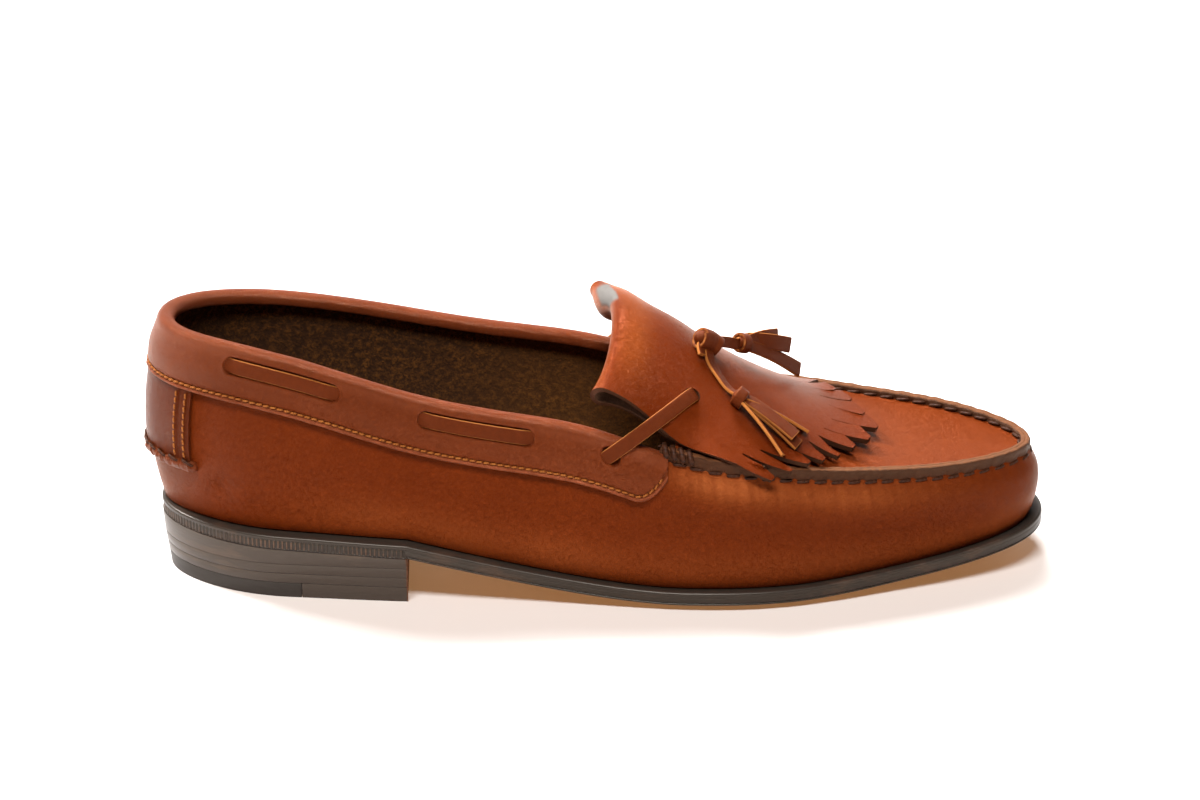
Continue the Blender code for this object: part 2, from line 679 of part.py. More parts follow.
def build_flap(place):
    """The folded flap: under leaf, roll, upper leaf and fringe in one sheet."""
    v = fringe_shares()
    under = stations(TOP_BACK_X, TOP_TOE_X, throat_index() / ALONG) - 2 * GAP
    fold = FLAP_FOLD_X - FLAP_FOLD_FLARE * v**2
    rows = []
    for f in np.linspace(0, 1, 7):
        x = under + (fold - under) * f
        near = np.clip((FLAP_THROAT_X - x) / (FLAP_THROAT_X - fold), 0, 1)
        near = near * near * (3 - 2 * near)
        drop = FLAP_LEAF_STEP + (2 * FLAP_ROLL - FLAP_LEAF_STEP) * near
        rows.append(flap_surface(x, v) - flap_normal(x, v) * drop[:, None])
    normal = flap_normal(fold, v)
    d = 0.5 * MM
    back = flap_surface(fold - d, v) - flap_surface(fold + d, v)
    back /= np.linalg.norm(back, axis=1, keepdims=True)
    centre = flap_surface(fold, v) - normal * FLAP_ROLL
    for angle in np.linspace(math.pi, 0, 7)[1:-1]:
        rows.append(centre + FLAP_ROLL * (math.cos(angle) * normal + math.sin(angle) * back))
    tip = fringe_tip(v)
    root = tip - FRINGE_DEPTH
    for f in np.linspace(0, 1, 9):
        x = fold + (root - fold) * f
        rows.append(flap_surface(x, v))
    solid_rows = len(rows)
    for f in (0.5, 1.0):
        x = root + FRINGE_DEPTH * f
        rows.append(flap_surface(x, v))
    points = np.array(rows)
    columns = len(v)
    skip = {(r, c) for r in range(solid_rows - 1, len(rows)) for c in range(1, columns - 1, 2)}
    faces = grid_faces(len(rows), columns, skip=skip)
    made = mesh_object("flap", points.reshape(-1, 3), faces, UPPER_LEATHER, place)
    thicken(made, FLAP_THICK, 0)
    for side, name in ((-1, "outer"), (1, "inner")):
        share = np.array([side * FLAP_HOLE_SHARE])
        place_x = np.array([FLAP_HOLE_X])
        centre, axis = flap_surface(place_x, share)[0], flap_normal(place_x, share)[0]
        punch = round_bar("flap_hole_" + name, centre, axis, FLAP_HOLE_RADIUS, 3 * FLAP_THICK,
                          UPPER_LEATHER, CUTTERS)
        combine(made, punch, "DIFFERENCE")
    return made


def build_lace(place):
    """Lace bars through the band, the straps up to the flap, the knot, both ends and their tassels."""
    for side, side_name in ((-1, "outer"), (1, "inner")):
        for (start, end), name in zip(BAR_SPANS, ("rear", "front")):
            x = np.linspace(start, end, 9)
            shares = np.arccos(1 - 2 * (x - TOP_BACK_X) / (TOP_TOE_X - TOP_BACK_X)) / math.pi
            signed = side * shares if side > 0 else -shares[::-1]
            height = wall_columns(signed)[3][:, 2] - LACE_DROP
            grid = wall_band(signed, height - 2 * MM, height + 2 * MM, 3)
            normal = grid_normals(grid)
            if np.sum(normal * (grid - np.array(INSIDE))) < 0:
                normal = -normal
            path = grid[:, 1] + normal[:, 1] * (BAND_THICK + 3 * GAP + LACE_THICK / 2)
            bar = "lace_bar_%s_%s" % (side_name, name)
            ribbon(bar, path, grid[:, 2] - grid[:, 0], LACE_WIDTH, LACE_THICK, LACE, place)
        build_strap(side, "lace_strap_" + side_name, place)
    build_knot(place)
    build_tassel("outer", OUTER_TASSEL, place)
    build_tassel("inner", INNER_TASSEL, place)


def flap_place(row):
    """A point above the flap from a table row, with the flap's normal there."""
    x, share = np.array([row.x * MM]), np.array([row.share])
    normal = flap_normal(x, share)[0]
    return flap_surface(x, share)[0] + normal * (FLAP_THICK / 2 + row.above * MM), normal


def bent_path(points, steps):
    """A smooth path through a few points."""
    points = np.asarray(points)
    t = np.concatenate([[0], np.cumsum(np.linalg.norm(np.diff(points, axis=0), axis=1))])
    at = np.linspace(0, t[-1], steps)
    return np.stack([spline(t, points[:, i], at) for i in range(3)], -1)


def build_strap(side, name, place):
    """Lace strap from the front slit in the band, over the flap's edge, to the hole in the flap."""
    share = math.acos(1 - 2 * (STRAP_START_X - TOP_BACK_X) / (TOP_TOE_X - TOP_BACK_X)) / math.pi
    signed = side * np.array([share - 0.01, share, share + 0.01])
    signed = signed if side > 0 else signed[::-1]
    top = wall_columns(signed)[3][:, 2]
    grid = wall_band(signed, top - STRAP_DROP - 2 * MM, top - STRAP_DROP + 2 * MM, 3)
    normal = grid_normals(grid)[1, 1]
    if np.dot(normal, grid[1, 1] - np.array(INSIDE)) < 0:
        normal = -normal
    start = grid[1, 1] + normal * (BAND_THICK + 4 * GAP + LACE_THICK / 2)
    edge, edge_normal = flap_place(LacePoint(STRAP_EDGE_X / MM, side * 0.985, STRAP_ABOVE / MM))
    above = LACE_THICK / MM / 2 + 0.5
    end, end_normal = flap_place(LacePoint(FLAP_HOLE_X / MM, side * FLAP_HOLE_SHARE, above))
    path = bent_path([start, edge, end], 9)
    blend = np.linspace(0, 1, 9)[:, None]
    face = normal * (1 - blend) + (edge_normal + end_normal) / 2 * blend
    tangent = np.gradient(path, axis=0)
    ribbon(name, path, np.cross(face, tangent), LACE_WIDTH, LACE_THICK, LACE, place)


def build_knot(place):
    """The lace's knot, a short rolled barrel on the flap."""
    centre, normal = flap_place(KNOT)
    along = np.array([0.93, 0.2, 0.0])
    along -= normal * np.dot(along, normal)
    along /= np.linalg.norm(along)
    across = np.cross(normal, along)
    work = bmesh.new()
    bmesh.ops.create_uvsphere(work, u_segments=12, v_segments=8, radius=1.0)
    mesh = bpy.data.meshes.new("lace_knot")
    work.to_mesh(mesh)
    work.free()
    axes = np.stack([across * KNOT_SIZE[1], normal * KNOT_SIZE[2], along * KNOT_SIZE[0]], 1)
    mesh.transform(Matrix(axes.tolist()).to_4x4())
    mesh.transform(Matrix.Translation(Vector(centre)))
    mesh.update()
    made = bpy.data.objects.new("lace_knot", mesh)
    made.data.materials.append(material("lace_knot", *LACE))
    place.objects.link(made)


def build_tassel(side, rows, place):
    """One lace end from the knot and its tassel, a bound wrap with cut strips fused to it."""
    ends = [flap_place(row) for row in rows.cord]
    path = bent_path([point for point, normal in ends], 8)
    across = np.cross(ends[0][1], path[-1] - path[0])
    ribbon("lace_end_" + side, path, across, TASSEL_WIDTH * 0.8, LACE_THICK, LACE, place)
    centre, normal = flap_place(rows.wrap)
    tips = [flap_place(row) for row in rows.tips]
    axis = sum(point for point, n in tips) / len(tips) - centre
    axis /= np.linalg.norm(axis)
    wrap = round_bar("tassel_" + side, centre, axis, WRAP_RADIUS, WRAP_LENGTH, LACE, place)
    for k, (point, tip_normal) in enumerate(tips):
        middle = (centre + point) / 2 + (normal + tip_normal) / 2 * 0.8 * MM
        path = bent_path([centre, middle, point], 6)
        name = "tassel_%s_strip_%d" % (side, k)
        across = np.cross(normal, point - centre)
        strip = ribbon(name, path, across, TASSEL_WIDTH, LACE_THICK, LACE, CUTTERS)
        combine(wrap, strip, "UNION")


for old in list(bpy.data.objects):
    bpy.data.objects.remove(old)
PARTS = collection("loafer")
CUTTERS = collection("cutters")
build_outsole(PARTS)
build_heel(PARTS)
build_insole(PARTS)
build_upper(PARTS)
build_overlays(PARTS)
build_flap(PARTS)
build_lace(PARTS)


def centre_on_floor(objects, loose):
    """Moves every solid so that the shoe without its loose lace is centred on X and Y."""
    corners = []
    graph = bpy.context.evaluated_depsgraph_get()
    for part in objects:
        if part.hide_render or part.name.startswith(loose):
            continue
        corners += [corner[:] for corner in part.evaluated_get(graph).bound_box]
    low, high = np.min(corners, 0), np.max(corners, 0)
    shift = Vector((-(low[0] + high[0]) / 2, -(low[1] + high[1]) / 2, 0.0))
    for part in objects:
        part.data.transform(Matrix.Translation(shift))
        part.data.update()
    return shift


CENTRE = centre_on_floor(list(bpy.data.objects), ("lace_knot", "lace_end", "tassel"))
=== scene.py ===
"""Leather loafer with a fringed flap and tassels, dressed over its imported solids.

Every shape is worked out in millimetres in the maker's frame: x runs from the back of the sole to the toe,
y points to the inner side of the foot and z is the height above the floor. A mesh is moved into the row's
frame, in metres, when it is made. A share is a part of a whole. Directions are unit vectors.
"""

from __future__ import annotations

import logging
import math
from dataclasses import dataclass, field
from enum import Enum
from typing import Callable, Sequence

import bmesh
import bpy
import numpy as np
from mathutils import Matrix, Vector

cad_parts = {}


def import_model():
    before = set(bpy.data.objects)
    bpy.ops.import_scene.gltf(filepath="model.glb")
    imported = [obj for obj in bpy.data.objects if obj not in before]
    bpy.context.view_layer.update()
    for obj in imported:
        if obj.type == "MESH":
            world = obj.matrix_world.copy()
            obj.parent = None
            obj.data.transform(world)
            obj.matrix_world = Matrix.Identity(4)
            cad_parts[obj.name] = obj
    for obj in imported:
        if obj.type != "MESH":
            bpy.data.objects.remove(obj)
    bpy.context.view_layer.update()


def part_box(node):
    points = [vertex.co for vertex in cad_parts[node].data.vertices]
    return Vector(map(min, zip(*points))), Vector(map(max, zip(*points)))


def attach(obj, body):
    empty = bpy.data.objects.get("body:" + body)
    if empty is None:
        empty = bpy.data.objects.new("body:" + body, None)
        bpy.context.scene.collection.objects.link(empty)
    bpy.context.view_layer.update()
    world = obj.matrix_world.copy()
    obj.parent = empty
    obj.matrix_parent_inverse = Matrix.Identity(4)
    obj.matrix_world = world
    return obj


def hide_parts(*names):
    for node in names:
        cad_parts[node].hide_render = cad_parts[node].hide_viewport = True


Array = np.ndarray
Socket = bpy.types.NodeSocket
Node = bpy.types.Node
NodeTree = bpy.types.NodeTree
Material = bpy.types.Material
Inputs = dict[str | int, object]
Span = tuple[float, float]
Colour = tuple[float, float, float, float]
Place = tuple[float, float, float]
MM = 0.001
TURN = 2 * np.pi
RIPPLE_RATES = np.array([0.61, 1.0, 1.43, 2.17])
RIPPLE_WEIGHTS = (0.3, 0.35, 0.2, 0.15)
log = logging.getLogger("loafer")


class Side(Enum):
    """The two sides of the foot, by the sign of their y."""

    OUTER = -1
    INNER = 1


def unit(vectors: Array) -> Array:
    """Vectors brought to length one along the last axis."""
    return vectors / np.maximum(np.linalg.norm(vectors, axis=-1, keepdims=True), 1e-12)


def upright(directions: Array) -> Array:
    """Directions turned about where they point down."""
    return np.where(directions[:, 2:] < 0, -directions, directions)


def ease(start: float | Array, end: float | Array, value: Array) -> Array:
    """A smooth step from 0 at start to 1 at end, also when start is the larger."""
    t = np.clip((np.asarray(value, float) - start) / (end - start), 0, 1)
    return t * t * (3 - 2 * t)


def bell(value: Array, centre: float | Array, width: float) -> Array:
    """A soft hump of height one about centre."""
    return np.exp(-(((np.asarray(value, float) - centre) / width) ** 2))


def ripple(value: Array, pitch: float, seed: int) -> Array:
    """Uneven smooth waves between about -1 and 1, the sum of four sines with fixed phases.

    Args:
        value: Places along a line.
        pitch: Mean length of a wave.
        seed: Picks the phases.

    Returns:
        The height of the waves at the places.
    """
    rng = np.random.default_rng(seed)
    phases = rng.uniform(0, 2 * np.pi, len(RIPPLE_RATES))
    rates = 2 * np.pi / pitch * RIPPLE_RATES
    return sum(w * np.sin(r * value + p) for w, r, p in zip(RIPPLE_WEIGHTS, rates, phases))


def circle(count: int) -> Array:
    """Angles spread evenly round a circle."""
    return np.linspace(0, TURN, count, endpoint=False)


def bezier(t: Array, a: Array, b: Array, c: Array, d: Array) -> Array:
    """Cubic Bezier curves at shares t of their way from a to d."""
    return (1 - t) ** 3 * a + 3 * t * (1 - t) ** 2 * b + 3 * t**2 * (1 - t) * c + t**3 * d


def spline(xs: Array, values: Array, at: Array) -> Array:
    """Natural cubic spline.

    Args:
        xs: Rising places of the knots.
        values: Values at the knots.
        at: Places to read, held within the first and last knot.

    Returns:
        The spline's values at the places.
    """
    xs, values = np.asarray(xs, float), np.asarray(values, float)
    at = np.clip(np.asarray(at, float), xs[0], xs[-1])
    h = np.diff(xs)
    slope = np.diff(values) / h
    matrix = np.eye(len(xs))
    inner = np.arange(1, len(xs) - 1)
    matrix[inner, inner - 1] = h[:-1]
    matrix[inner, inner] = 2 * (h[:-1] + h[1:])
    matrix[inner, inner + 1] = h[1:]
    bend = np.linalg.solve(matrix, np.concatenate([[0], 6 * np.diff(slope), [0]]))
    i = np.clip(np.searchsorted(xs, at, side="right") - 1, 0, len(xs) - 2)
    a, b = (xs[i + 1] - at) / h[i], (at - xs[i]) / h[i]
    curve = ((a**3 - a) * bend[i] + (b**3 - b) * bend[i + 1]) * h[i] ** 2 / 6
    return a * values[i] + b * values[i + 1] + curve


def run_length(path: Array) -> Array:
    """Length along a path at each of its points."""
    return np.concatenate([[0.0], np.cumsum(np.linalg.norm(np.diff(path, axis=0), axis=1))])


def read_path(path: Array, at: Array) -> Array:
    """Points of a path at lengths along it, in straight steps."""
    length = run_length(path)
    return np.stack([np.interp(at, length, path[:, i]) for i in range(path.shape[1])], -1)


def evenly(path: Array, count: int) -> Array:
    """Points of a path, evenly spaced by length."""
    return read_path(path, np.linspace(0, run_length(path)[-1], count))


def heading(path: Array, at: Array, reach: float) -> Array:
    """Directions of a path at lengths along it, by differences over a reach to both sides."""
    return unit(read_path(path, at + reach) - read_path(path, at - reach))


def nearest(run: Array, at: Array) -> Array:
    """Numbers of the points of a path that come next after lengths along it."""
    return np.clip(np.searchsorted(run, at), 0, len(run) - 1)


def smooth_path(points: Sequence[Array], steps: int) -> Array:
    """A cubic path through a few points.

    Args:
        points: Points that the path passes.
        steps: Number of points to give back, evenly spaced by chord length.

    Returns:
        The points of the path.
    """
    points = np.asarray(points, float)
    t = run_length(points)
    at = np.linspace(0, t[-1], steps)
    return np.stack([spline(t, points[:, i], at) for i in range(3)], -1)


def close_ends(path: Array, step: float = 0.25) -> Array:
    """A path with an extra point close to each end, which keeps the mark of a cut end short."""
    length = run_length(path)
    at = np.concatenate([[0, step], length[1:-1], [length[-1] - step, length[-1]]])
    return read_path(path, np.sort(at))


def carried(line: Array, *ways: tuple[Array, Array | Sequence[float]]) -> Array:
    """Sections carried along a line: its points, moved by amounts along directions.

    Args:
        line: Points of the line.
        *ways: Directions at the points, each with the amounts of one section, or of every point's own.

    Returns:
        Points (line, section, xyz).
    """
    grid = line[:, None]
    for direction, amounts in ways:
        grid = grid + direction[:, None] * np.atleast_2d(amounts)[..., None]
    return grid


def padded(values: Array, columns: int) -> Array:
    """Marks of the first points of every section, with zeros for the rest."""
    return np.pad(values, ((0, 0), (0, columns - values.shape[1])))


def quads(rows: int, columns: int, wrap_columns: bool = False) -> Array:
    """Corner numbers of the faces of a grid.

    Args:
        rows: Rows of points.
        columns: Points in a row.
        wrap_columns: Joins the last column to the first.

    Returns:
        One row of four corner numbers per face.
    """
    index = np.arange(rows * columns).reshape(rows, columns)
    if wrap_columns:
        index = np.concatenate([index, index[:, :1]], 1)
    corners = (index[:-1, :-1], index[:-1, 1:], index[1:, 1:], index[1:, :-1])
    return np.stack([c.ravel() for c in corners], -1)


@dataclass
class Draft:
    """Grids of points that become one mesh, with marks on their points that materials read."""

    points: list[Array] = field(default_factory=list)
    faces: list[Array] = field(default_factory=list)
    marks: dict[str, list[Array]] = field(default_factory=dict)
    count: int = 0

    def add(self, points: Array, *faces: Array, **marks: Array | float) -> Draft:
        """Adds points with faces.

        Args:
            points: Any grid of points in millimetres.
            *faces: Corner numbers within these points, in one array for every number of corners.
            **marks: Named values, one per point or any that spread over the grid.

        Returns:
            The draft itself.
        """
        points = np.asarray(points, float)
        for name in dict.fromkeys([*self.marks, *marks]):
            value = np.broadcast_to(np.asarray(marks.get(name, 0.0), float), points.shape[:-1]).ravel()
            self.marks.setdefault(name, [np.zeros(self.count)] if self.count else []).append(value)
        self.faces.extend(block + self.count for block in faces)
        self.points.append(points.reshape(-1, 3))
        self.count += len(self.points[-1])
        return self

    def tube(self, sections: Array, **marks: Array | float) -> Draft:
        """Adds a closed solid through closed sections (section, point, xyz), with flat ends."""
        steps, round_ = sections.shape[:2]
        caps = np.arange(round_) + np.array([[0], [(steps - 1) * round_]])
        return self.add(sections, quads(steps, round_, wrap_columns=True), caps, **marks)

    def strap(self, path: Array, face: Array, width: float | Array, thick: float, cut: float = 1.0) -> Draft:
        """Adds a flat strap with softened corners: superellipse sections carried along a path.

        Args:
            path: Points of the strap's middle line.
            face: Directions that its broad face looks in.
            width: Width of the strap, one or one per point.
            thick: Thickness of the strap.
            cut: Mark of its cut edges and ends.

        Returns:
            The draft itself.
        """
        corners, side_power, face_power, edge_from = 20, 0.3, 0.45, 0.93
        tangent = unit(np.gradient(path, axis=0))
        side = unit(np.cross(tangent, face))
        turn = circle(corners) + np.pi / corners
        across = np.sign(np.cos(turn)) * np.abs(np.cos(turn)) ** side_power
        deep = np.sign(np.sin(turn)) * np.abs(np.sin(turn)) ** face_power
        half = np.broadcast_to(np.asarray(width, float) / 2, (len(path),))[:, None]
        sections = carried(path, (side, across * half), (np.cross(side, tangent), deep * thick / 2))
        mark = np.tile(np.where(np.abs(across) > edge_from, cut, 0.0), (len(path), 1))
        mark[[0, -1]] = cut
        return self.tube(sections, edge=mark)

    def stitches(
        self, middle: Array, along: Array, out: Array, length: float, radius: float, rise: float
    ) -> Draft:
        """Adds a row of stitches, each a short thread that rises from its two holes and lies on the leather.

        Args:
            middle: Middles of the stitches on the surface.
            along: Directions of the stitches.
            out: Normals of the surface.
            length: Length of a stitch between its holes.
            radius: Radius of the thread.
            rise: Height of the thread's middle above the surface.

        Returns:
            The draft itself.
        """
        steps, round_, dive, twists = 7, 6, 1.3, 1.6
        f = np.linspace(-1, 1, steps)
        side = unit(np.cross(out, along))
        line = carried(middle, (along, f * length / 2), (out, rise * (1 - f**4) - dive * radius * f**8))
        face = unit(np.cross(unit(np.gradient(line, axis=1)), side[:, None]))
        turn = circle(round_)[:, None]
        wide = radius * np.sqrt(np.clip(1.06 - f**6, 0.12, 1))[:, None, None]
        ring = np.cos(turn) * side[:, None, None] + np.sin(turn) * face[:, :, None]
        starts = np.arange(len(middle))[:, None] * steps * round_
        sides = (quads(steps, round_, wrap_columns=True) + starts[..., None]).reshape(-1, 4)
        first = starts + np.arange(round_)
        twist = twists * (f[:, None] + 1) + turn[:, 0] / TURN
        last = first + (steps - 1) * round_
        return self.add(line[:, :, None] + wide * ring, sides, first, last, twist=twist)


@dataclass
class Workshop:
    """Turns drafts into pieces in the row's frame and keeps the finishes, by name."""

    shift: Array
    looks: dict[str, Material]
    merge: float = 2e-6
    sliver: float = 1e-7

    def to_row(self, points: Array) -> Array:
        """Points in millimetres in the maker's frame as metres in the row's frame."""
        return np.asarray(points, float) * MM + self.shift

    def piece(
        self,
        name: str,
        draft: Draft,
        finishes: Sequence[str],
        slot: str,
        nodes: Sequence[str] = (),
        sharp: float = 40.0,
        shell: float = 0.0,
        centre: Place = (0.0, 0.0, 0.0),
        outward: float = -1.0,
    ) -> bpy.types.Object:
        """Makes a piece that rides on the shoe.

        Args:
            name: The piece's name.
            draft: Its points and faces.
            finishes: Its finishes: for a shell the outer face, the inner face and the cut edge.
            slot: The record's material slot for the piece; not used.
            nodes: The solids that it stands for.
            sharp: Angle in degrees over which an edge is shaded sharp.
            shell: Thickness that an open sheet gets, in millimetres.
            centre: A point that an open sheet's outer face looks away from.
            outward: Where the thickness grows: -1 inward, 0 to both sides.

        Returns:
            The piece.
        """
        mesh = bpy.data.meshes.new(name)
        faces = [face for block in draft.faces for face in block.tolist()]
        mesh.from_pydata(self.to_row(np.concatenate(draft.points)).tolist(), [], faces)
        for mark, values in draft.marks.items():
            layer = mesh.attributes.new(mark, "FLOAT", "POINT")
            layer.data.foreach_set("value", np.concatenate(values).astype(np.float32))
        work = bmesh.new()
        work.from_mesh(mesh)
        bmesh.ops.remove_doubles(work, verts=work.verts, dist=self.merge)
        bmesh.ops.dissolve_degenerate(work, edges=work.edges, dist=self.sliver)
        bmesh.ops.recalc_face_normals(work, faces=work.faces)
        work.to_mesh(mesh)
        work.free()
        made = bpy.data.objects.new(name, mesh)
        bpy.context.scene.collection.objects.link(made)
        for finish in finishes:
            mesh.materials.append(self.looks[finish])
        if shell:
            self._thicken(made, shell, centre, outward)
            mesh = made.data
        mesh.shade_smooth()
        mesh.set_sharp_from_angle(angle=math.radians(sharp))
        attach(made, "root")
        if nodes:
            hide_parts(*nodes)
        log.info("%s: %d faces, replaces %s", name, len(mesh.polygons), ", ".join(nodes) or "nothing")
        return made

    def _thicken(self, made: bpy.types.Object, shell: float, centre: Place, outward: float) -> None:
        """Gives an open sheet its thickness, with the inner face and the rim in their own finishes.

        Args:
            made: The sheet.
            shell: Its thickness in millimetres.
            centre: A point that its outer face looks away from.
            outward: Where the thickness grows: -1 inward, 0 to both sides.
        """
        mesh = made.data
        normals = np.empty(len(mesh.polygons) * 3)
        middles, areas = np.empty_like(normals), np.empty(len(mesh.polygons))
        mesh.polygons.foreach_get("normal", normals)
        mesh.polygons.foreach_get("center", middles)
        mesh.polygons.foreach_get("area", areas)
        away = middles.reshape(-1, 3) - self.to_row(centre)
        if np.sum(np.sum(normals.reshape(-1, 3) * away, 1) * areas) < 0:
            mesh.flip_normals()
        wall = made.modifiers.new("wall", "SOLIDIFY")
        wall.thickness, wall.offset, wall.use_even_offset = shell * MM, outward, False
        wall.material_offset, wall.material_offset_rim = 1, 2
        graph = bpy.context.evaluated_depsgraph_get()
        done = bpy.data.meshes.new_from_object(made.evaluated_get(graph))
        made.modifiers.clear()
        made.data = done
        done.name = made.name
        bpy.data.meshes.remove(mesh)


@dataclass(frozen=True)
class Table:
    """Rows of measurements, read in between by a natural cubic spline."""

    names: tuple[str, ...]
    rows: tuple[tuple[float, ...], ...]

    def read(self, name: str, x: Array) -> Array:
        """One named column at places x along the shoe."""
        grid = np.array(self.rows)
        return spline(grid[:, 0], grid[:, self.names.index(name)], x)


@dataclass(frozen=True)
class Last:
    """The lines that every piece is cut from."""

    sole_length: float = 294.5
    sole_thick: float = 4.8
    seat_back: float = 20.0
    seat_front: float = 16.6
    heel_length: float = 82.0
    waist_slope: float = -0.25
    tread_back: float = 177.0
    tread_front: float = 208.0
    toe_spring: float = 9.5
    spring_power: float = 1.7
    edge_rise: float = 2.0
    tread_share: float = 0.62
    heel_round: float = 42.0
    toe_round: float = 44.0
    round_power: float = 2.15
    wall_thick: float = 2.0
    gap: float = 0.3
    feather_inset: float = 4.2
    throat: float = 166.0
    toe_blend: float = 0.97
    feather_ends: Span = (1.0, 290.3)
    belly_ends: Span = (-5.8, 295.0)
    shoulder_ends: Span = (-2.9, 293.0)
    top_ends: Span = (3.6, 288.0)
    sole: Table = Table(
        ("x", "outer", "inner"),
        (
            (0, 25.5, 26.5), (25, 30.3, 30.5), (50, 33.5, 31.8), (82, 37.0, 31.0), (112, 38.6, 31.5),
            (145, 41.2, 39.0), (175, 44.4, 49.5), (197, 44.4, 54.5), (218, 40.6, 55.0), (240, 34.2, 51.0),
            (262, 28.6, 44.0), (280, 26.8, 37.5), (294.5, 27.0, 33.0),
        ),
    )
    upper: Table = Table(
        ("x", "outer", "inner", "outer_z", "inner_z",
         "belly", "belly_rise", "shoulder", "shoulder_drop", "crown"),
        (
            (0, 26.0, 26.0, 91.0, 91.0, 6.0, 24, 7.0, 22, 0),
            (28, 27.0, 27.0, 89.5, 87.0, 5.5, 22, 6.0, 22, 0),
            (54, 28.2, 28.5, 83.0, 83.3, 5.0, 20, 5.5, 22, 0),
            (84, 29.8, 29.7, 73.3, 77.5, 4.5, 18, 5.5, 20, 0),
            (113, 31.3, 30.8, 67.3, 71.8, 4.5, 17, 6.0, 18, 4),
            (143, 33.4, 33.0, 61.8, 66.0, 5.0, 16, 6.0, 15, 15),
            (166, 36.5, 35.5, 54.5, 58.0, 5.5, 16, 5.5, 8, 25),
            (183, 37.5, 37.5, 50.0, 51.0, 5.5, 16, 5.5, 5, 18.8),
            (203, 36.0, 38.0, 46.5, 46.0, 5.5, 15, 5.0, 3, 11.0),
            (223, 32.0, 36.5, 43.5, 43.6, 5.5, 14, 4.5, 2, 4.4),
            (243, 27.0, 33.0, 41.3, 41.5, 5.5, 13, 4.5, 2, 0.5),
            (265, 21.5, 27.5, 39.5, 40.5, 5.0, 12, 4.5, 2, -0.8),
            (288, 17.0, 21.5, 39.0, 39.0, 5.0, 12, 4.5, 2, 0),
        ),
    )

    def rounded(self, x: Array, ends: Span) -> Array:
        """Share of the half width left by the round heel and toe: superellipse quarters at both ends."""

        def cap(distance: Array, length: float) -> Array:
            """One end's quarter."""
            d = np.clip(distance / length, 0, 1)
            return (1 - (1 - d) ** self.round_power) ** (1 / self.round_power)

        return cap(x - ends[0], self.heel_round) * cap(ends[1] - x, self.toe_round)

    def sole_bottom(self, x: Array) -> Array:
        """Height of the sole's underside: straight seat, Hermite waist, flat tread, power-law toe spring."""
        x = np.asarray(x, float)
        seat = self.seat_back + (self.seat_front - self.seat_back) * x / self.heel_length
        span = self.tread_back - self.heel_length
        t = np.clip((x - self.heel_length) / span, 0, 1)
        waist = self.seat_front * (2 * t**3 - 3 * t**2 + 1) + self.waist_slope * span * (t**3 - 2 * t**2 + t)
        rise = np.clip((x - self.tread_front) / (self.sole_length - self.tread_front), 0, 1)
        return np.where(x < self.heel_length, seat, waist) + self.toe_spring * rise**self.spring_power

    def edge_lift(self, x: Array, share: Array | float) -> Array:
        """Rise of the forefoot's underside towards its edge, where share is 1: square past the tread."""
        fore = np.clip((x - self.heel_length) / (self.tread_back - self.heel_length), 0, 1)
        past = np.clip((np.abs(share) - self.tread_share) / (1 - self.tread_share), 0, 1)
        return self.edge_rise * fore * past**2

    def outline(self, inset: float = 0.0, front: float | None = None) -> Array:
        """Plan outline of the sole, from its back along the outer side and back along the inner side.

        Args:
            inset: How far the outline is drawn in.
            front: Where a straight cut ends it, for the heel.

        Returns:
            Points (x, y), close together at the round ends.
        """
        whole = front is None
        turn = np.linspace(0, math.pi if whole else math.pi / 2, 1600)
        end = self.sole_length - inset if whole else front
        x = inset + (end - inset) * ((1 - np.cos(turn)) / (2 if whole else 1))
        cap = self.rounded(x, (inset, self.sole_length - inset))
        outer = np.stack([x, -(self.sole.read("outer", x) - inset) * cap], -1)
        inner = np.stack([x, (self.sole.read("inner", x) - inset) * cap], -1)
        return np.concatenate([outer, inner[::-1][1 if whole else 0 : -1]])

    def feather_line(self, side: str, x: Array) -> tuple[Array, Array]:
        """Half width and height of the line along which the wall meets the sole."""
        half = self.sole.read(side, x)
        lift = self.edge_lift(x, 1 - self.feather_inset / half)
        return half - self.feather_inset, self.sole_bottom(x) + lift + self.sole_thick + 2 * self.gap

    def top_line(self, side: str, x: Array) -> tuple[Array, Array]:
        """Half width and height of the top edge."""
        return self.upper.read(side, x), self.upper.read(side + "_z", x)

    def controls(self, s: Array) -> list[Array]:
        """Feather, belly, shoulder and top points of the wall's profiles.

        Args:
            s: Signed shares round the shoe: 0 at the back, -1 at the toe by the outer side, 1 by the inner.

        Returns:
            Four arrays of points.
        """
        s = (np.asarray(s, float) + 1) % 2 - 1
        toe = ease(self.toe_blend, 1.0, np.abs(s)) / 2

        def control(
            ends: Span,
            base: Callable[[str, Array], tuple[Array, Array]],
            swell: str = "",
            lift: str = "",
            sign: int = 1,
        ) -> Array:
            """One line: a base line, moved by columns of the table, its sides brought together at the toe."""
            x = ends[0] + (ends[1] - ends[0]) * (1 - np.cos(np.pi * np.abs(s))) / 2
            wide = self.upper.read(swell, x) if swell else 0.0
            rise = sign * self.upper.read(lift, x) if lift else 0.0
            (outer, outer_z), (inner, inner_z) = base("outer", x), base("inner", x)
            y = np.where(s <= 0, -(outer + wide), inner + wide) * self.rounded(x, ends)
            own = np.where(s <= 0, outer_z + rise, inner_z + rise)
            other = np.where(s <= 0, inner_z + rise, outer_z + rise)
            return np.stack([x, y, own * (1 - toe) + other * toe], -1)

        return [
            control(self.feather_ends, self.feather_line),
            control(self.belly_ends, self.feather_line, "belly", "belly_rise"),
            control(self.shoulder_ends, self.top_line, "shoulder", "shoulder_drop", -1),
            control(self.top_ends, self.top_line),
        ]

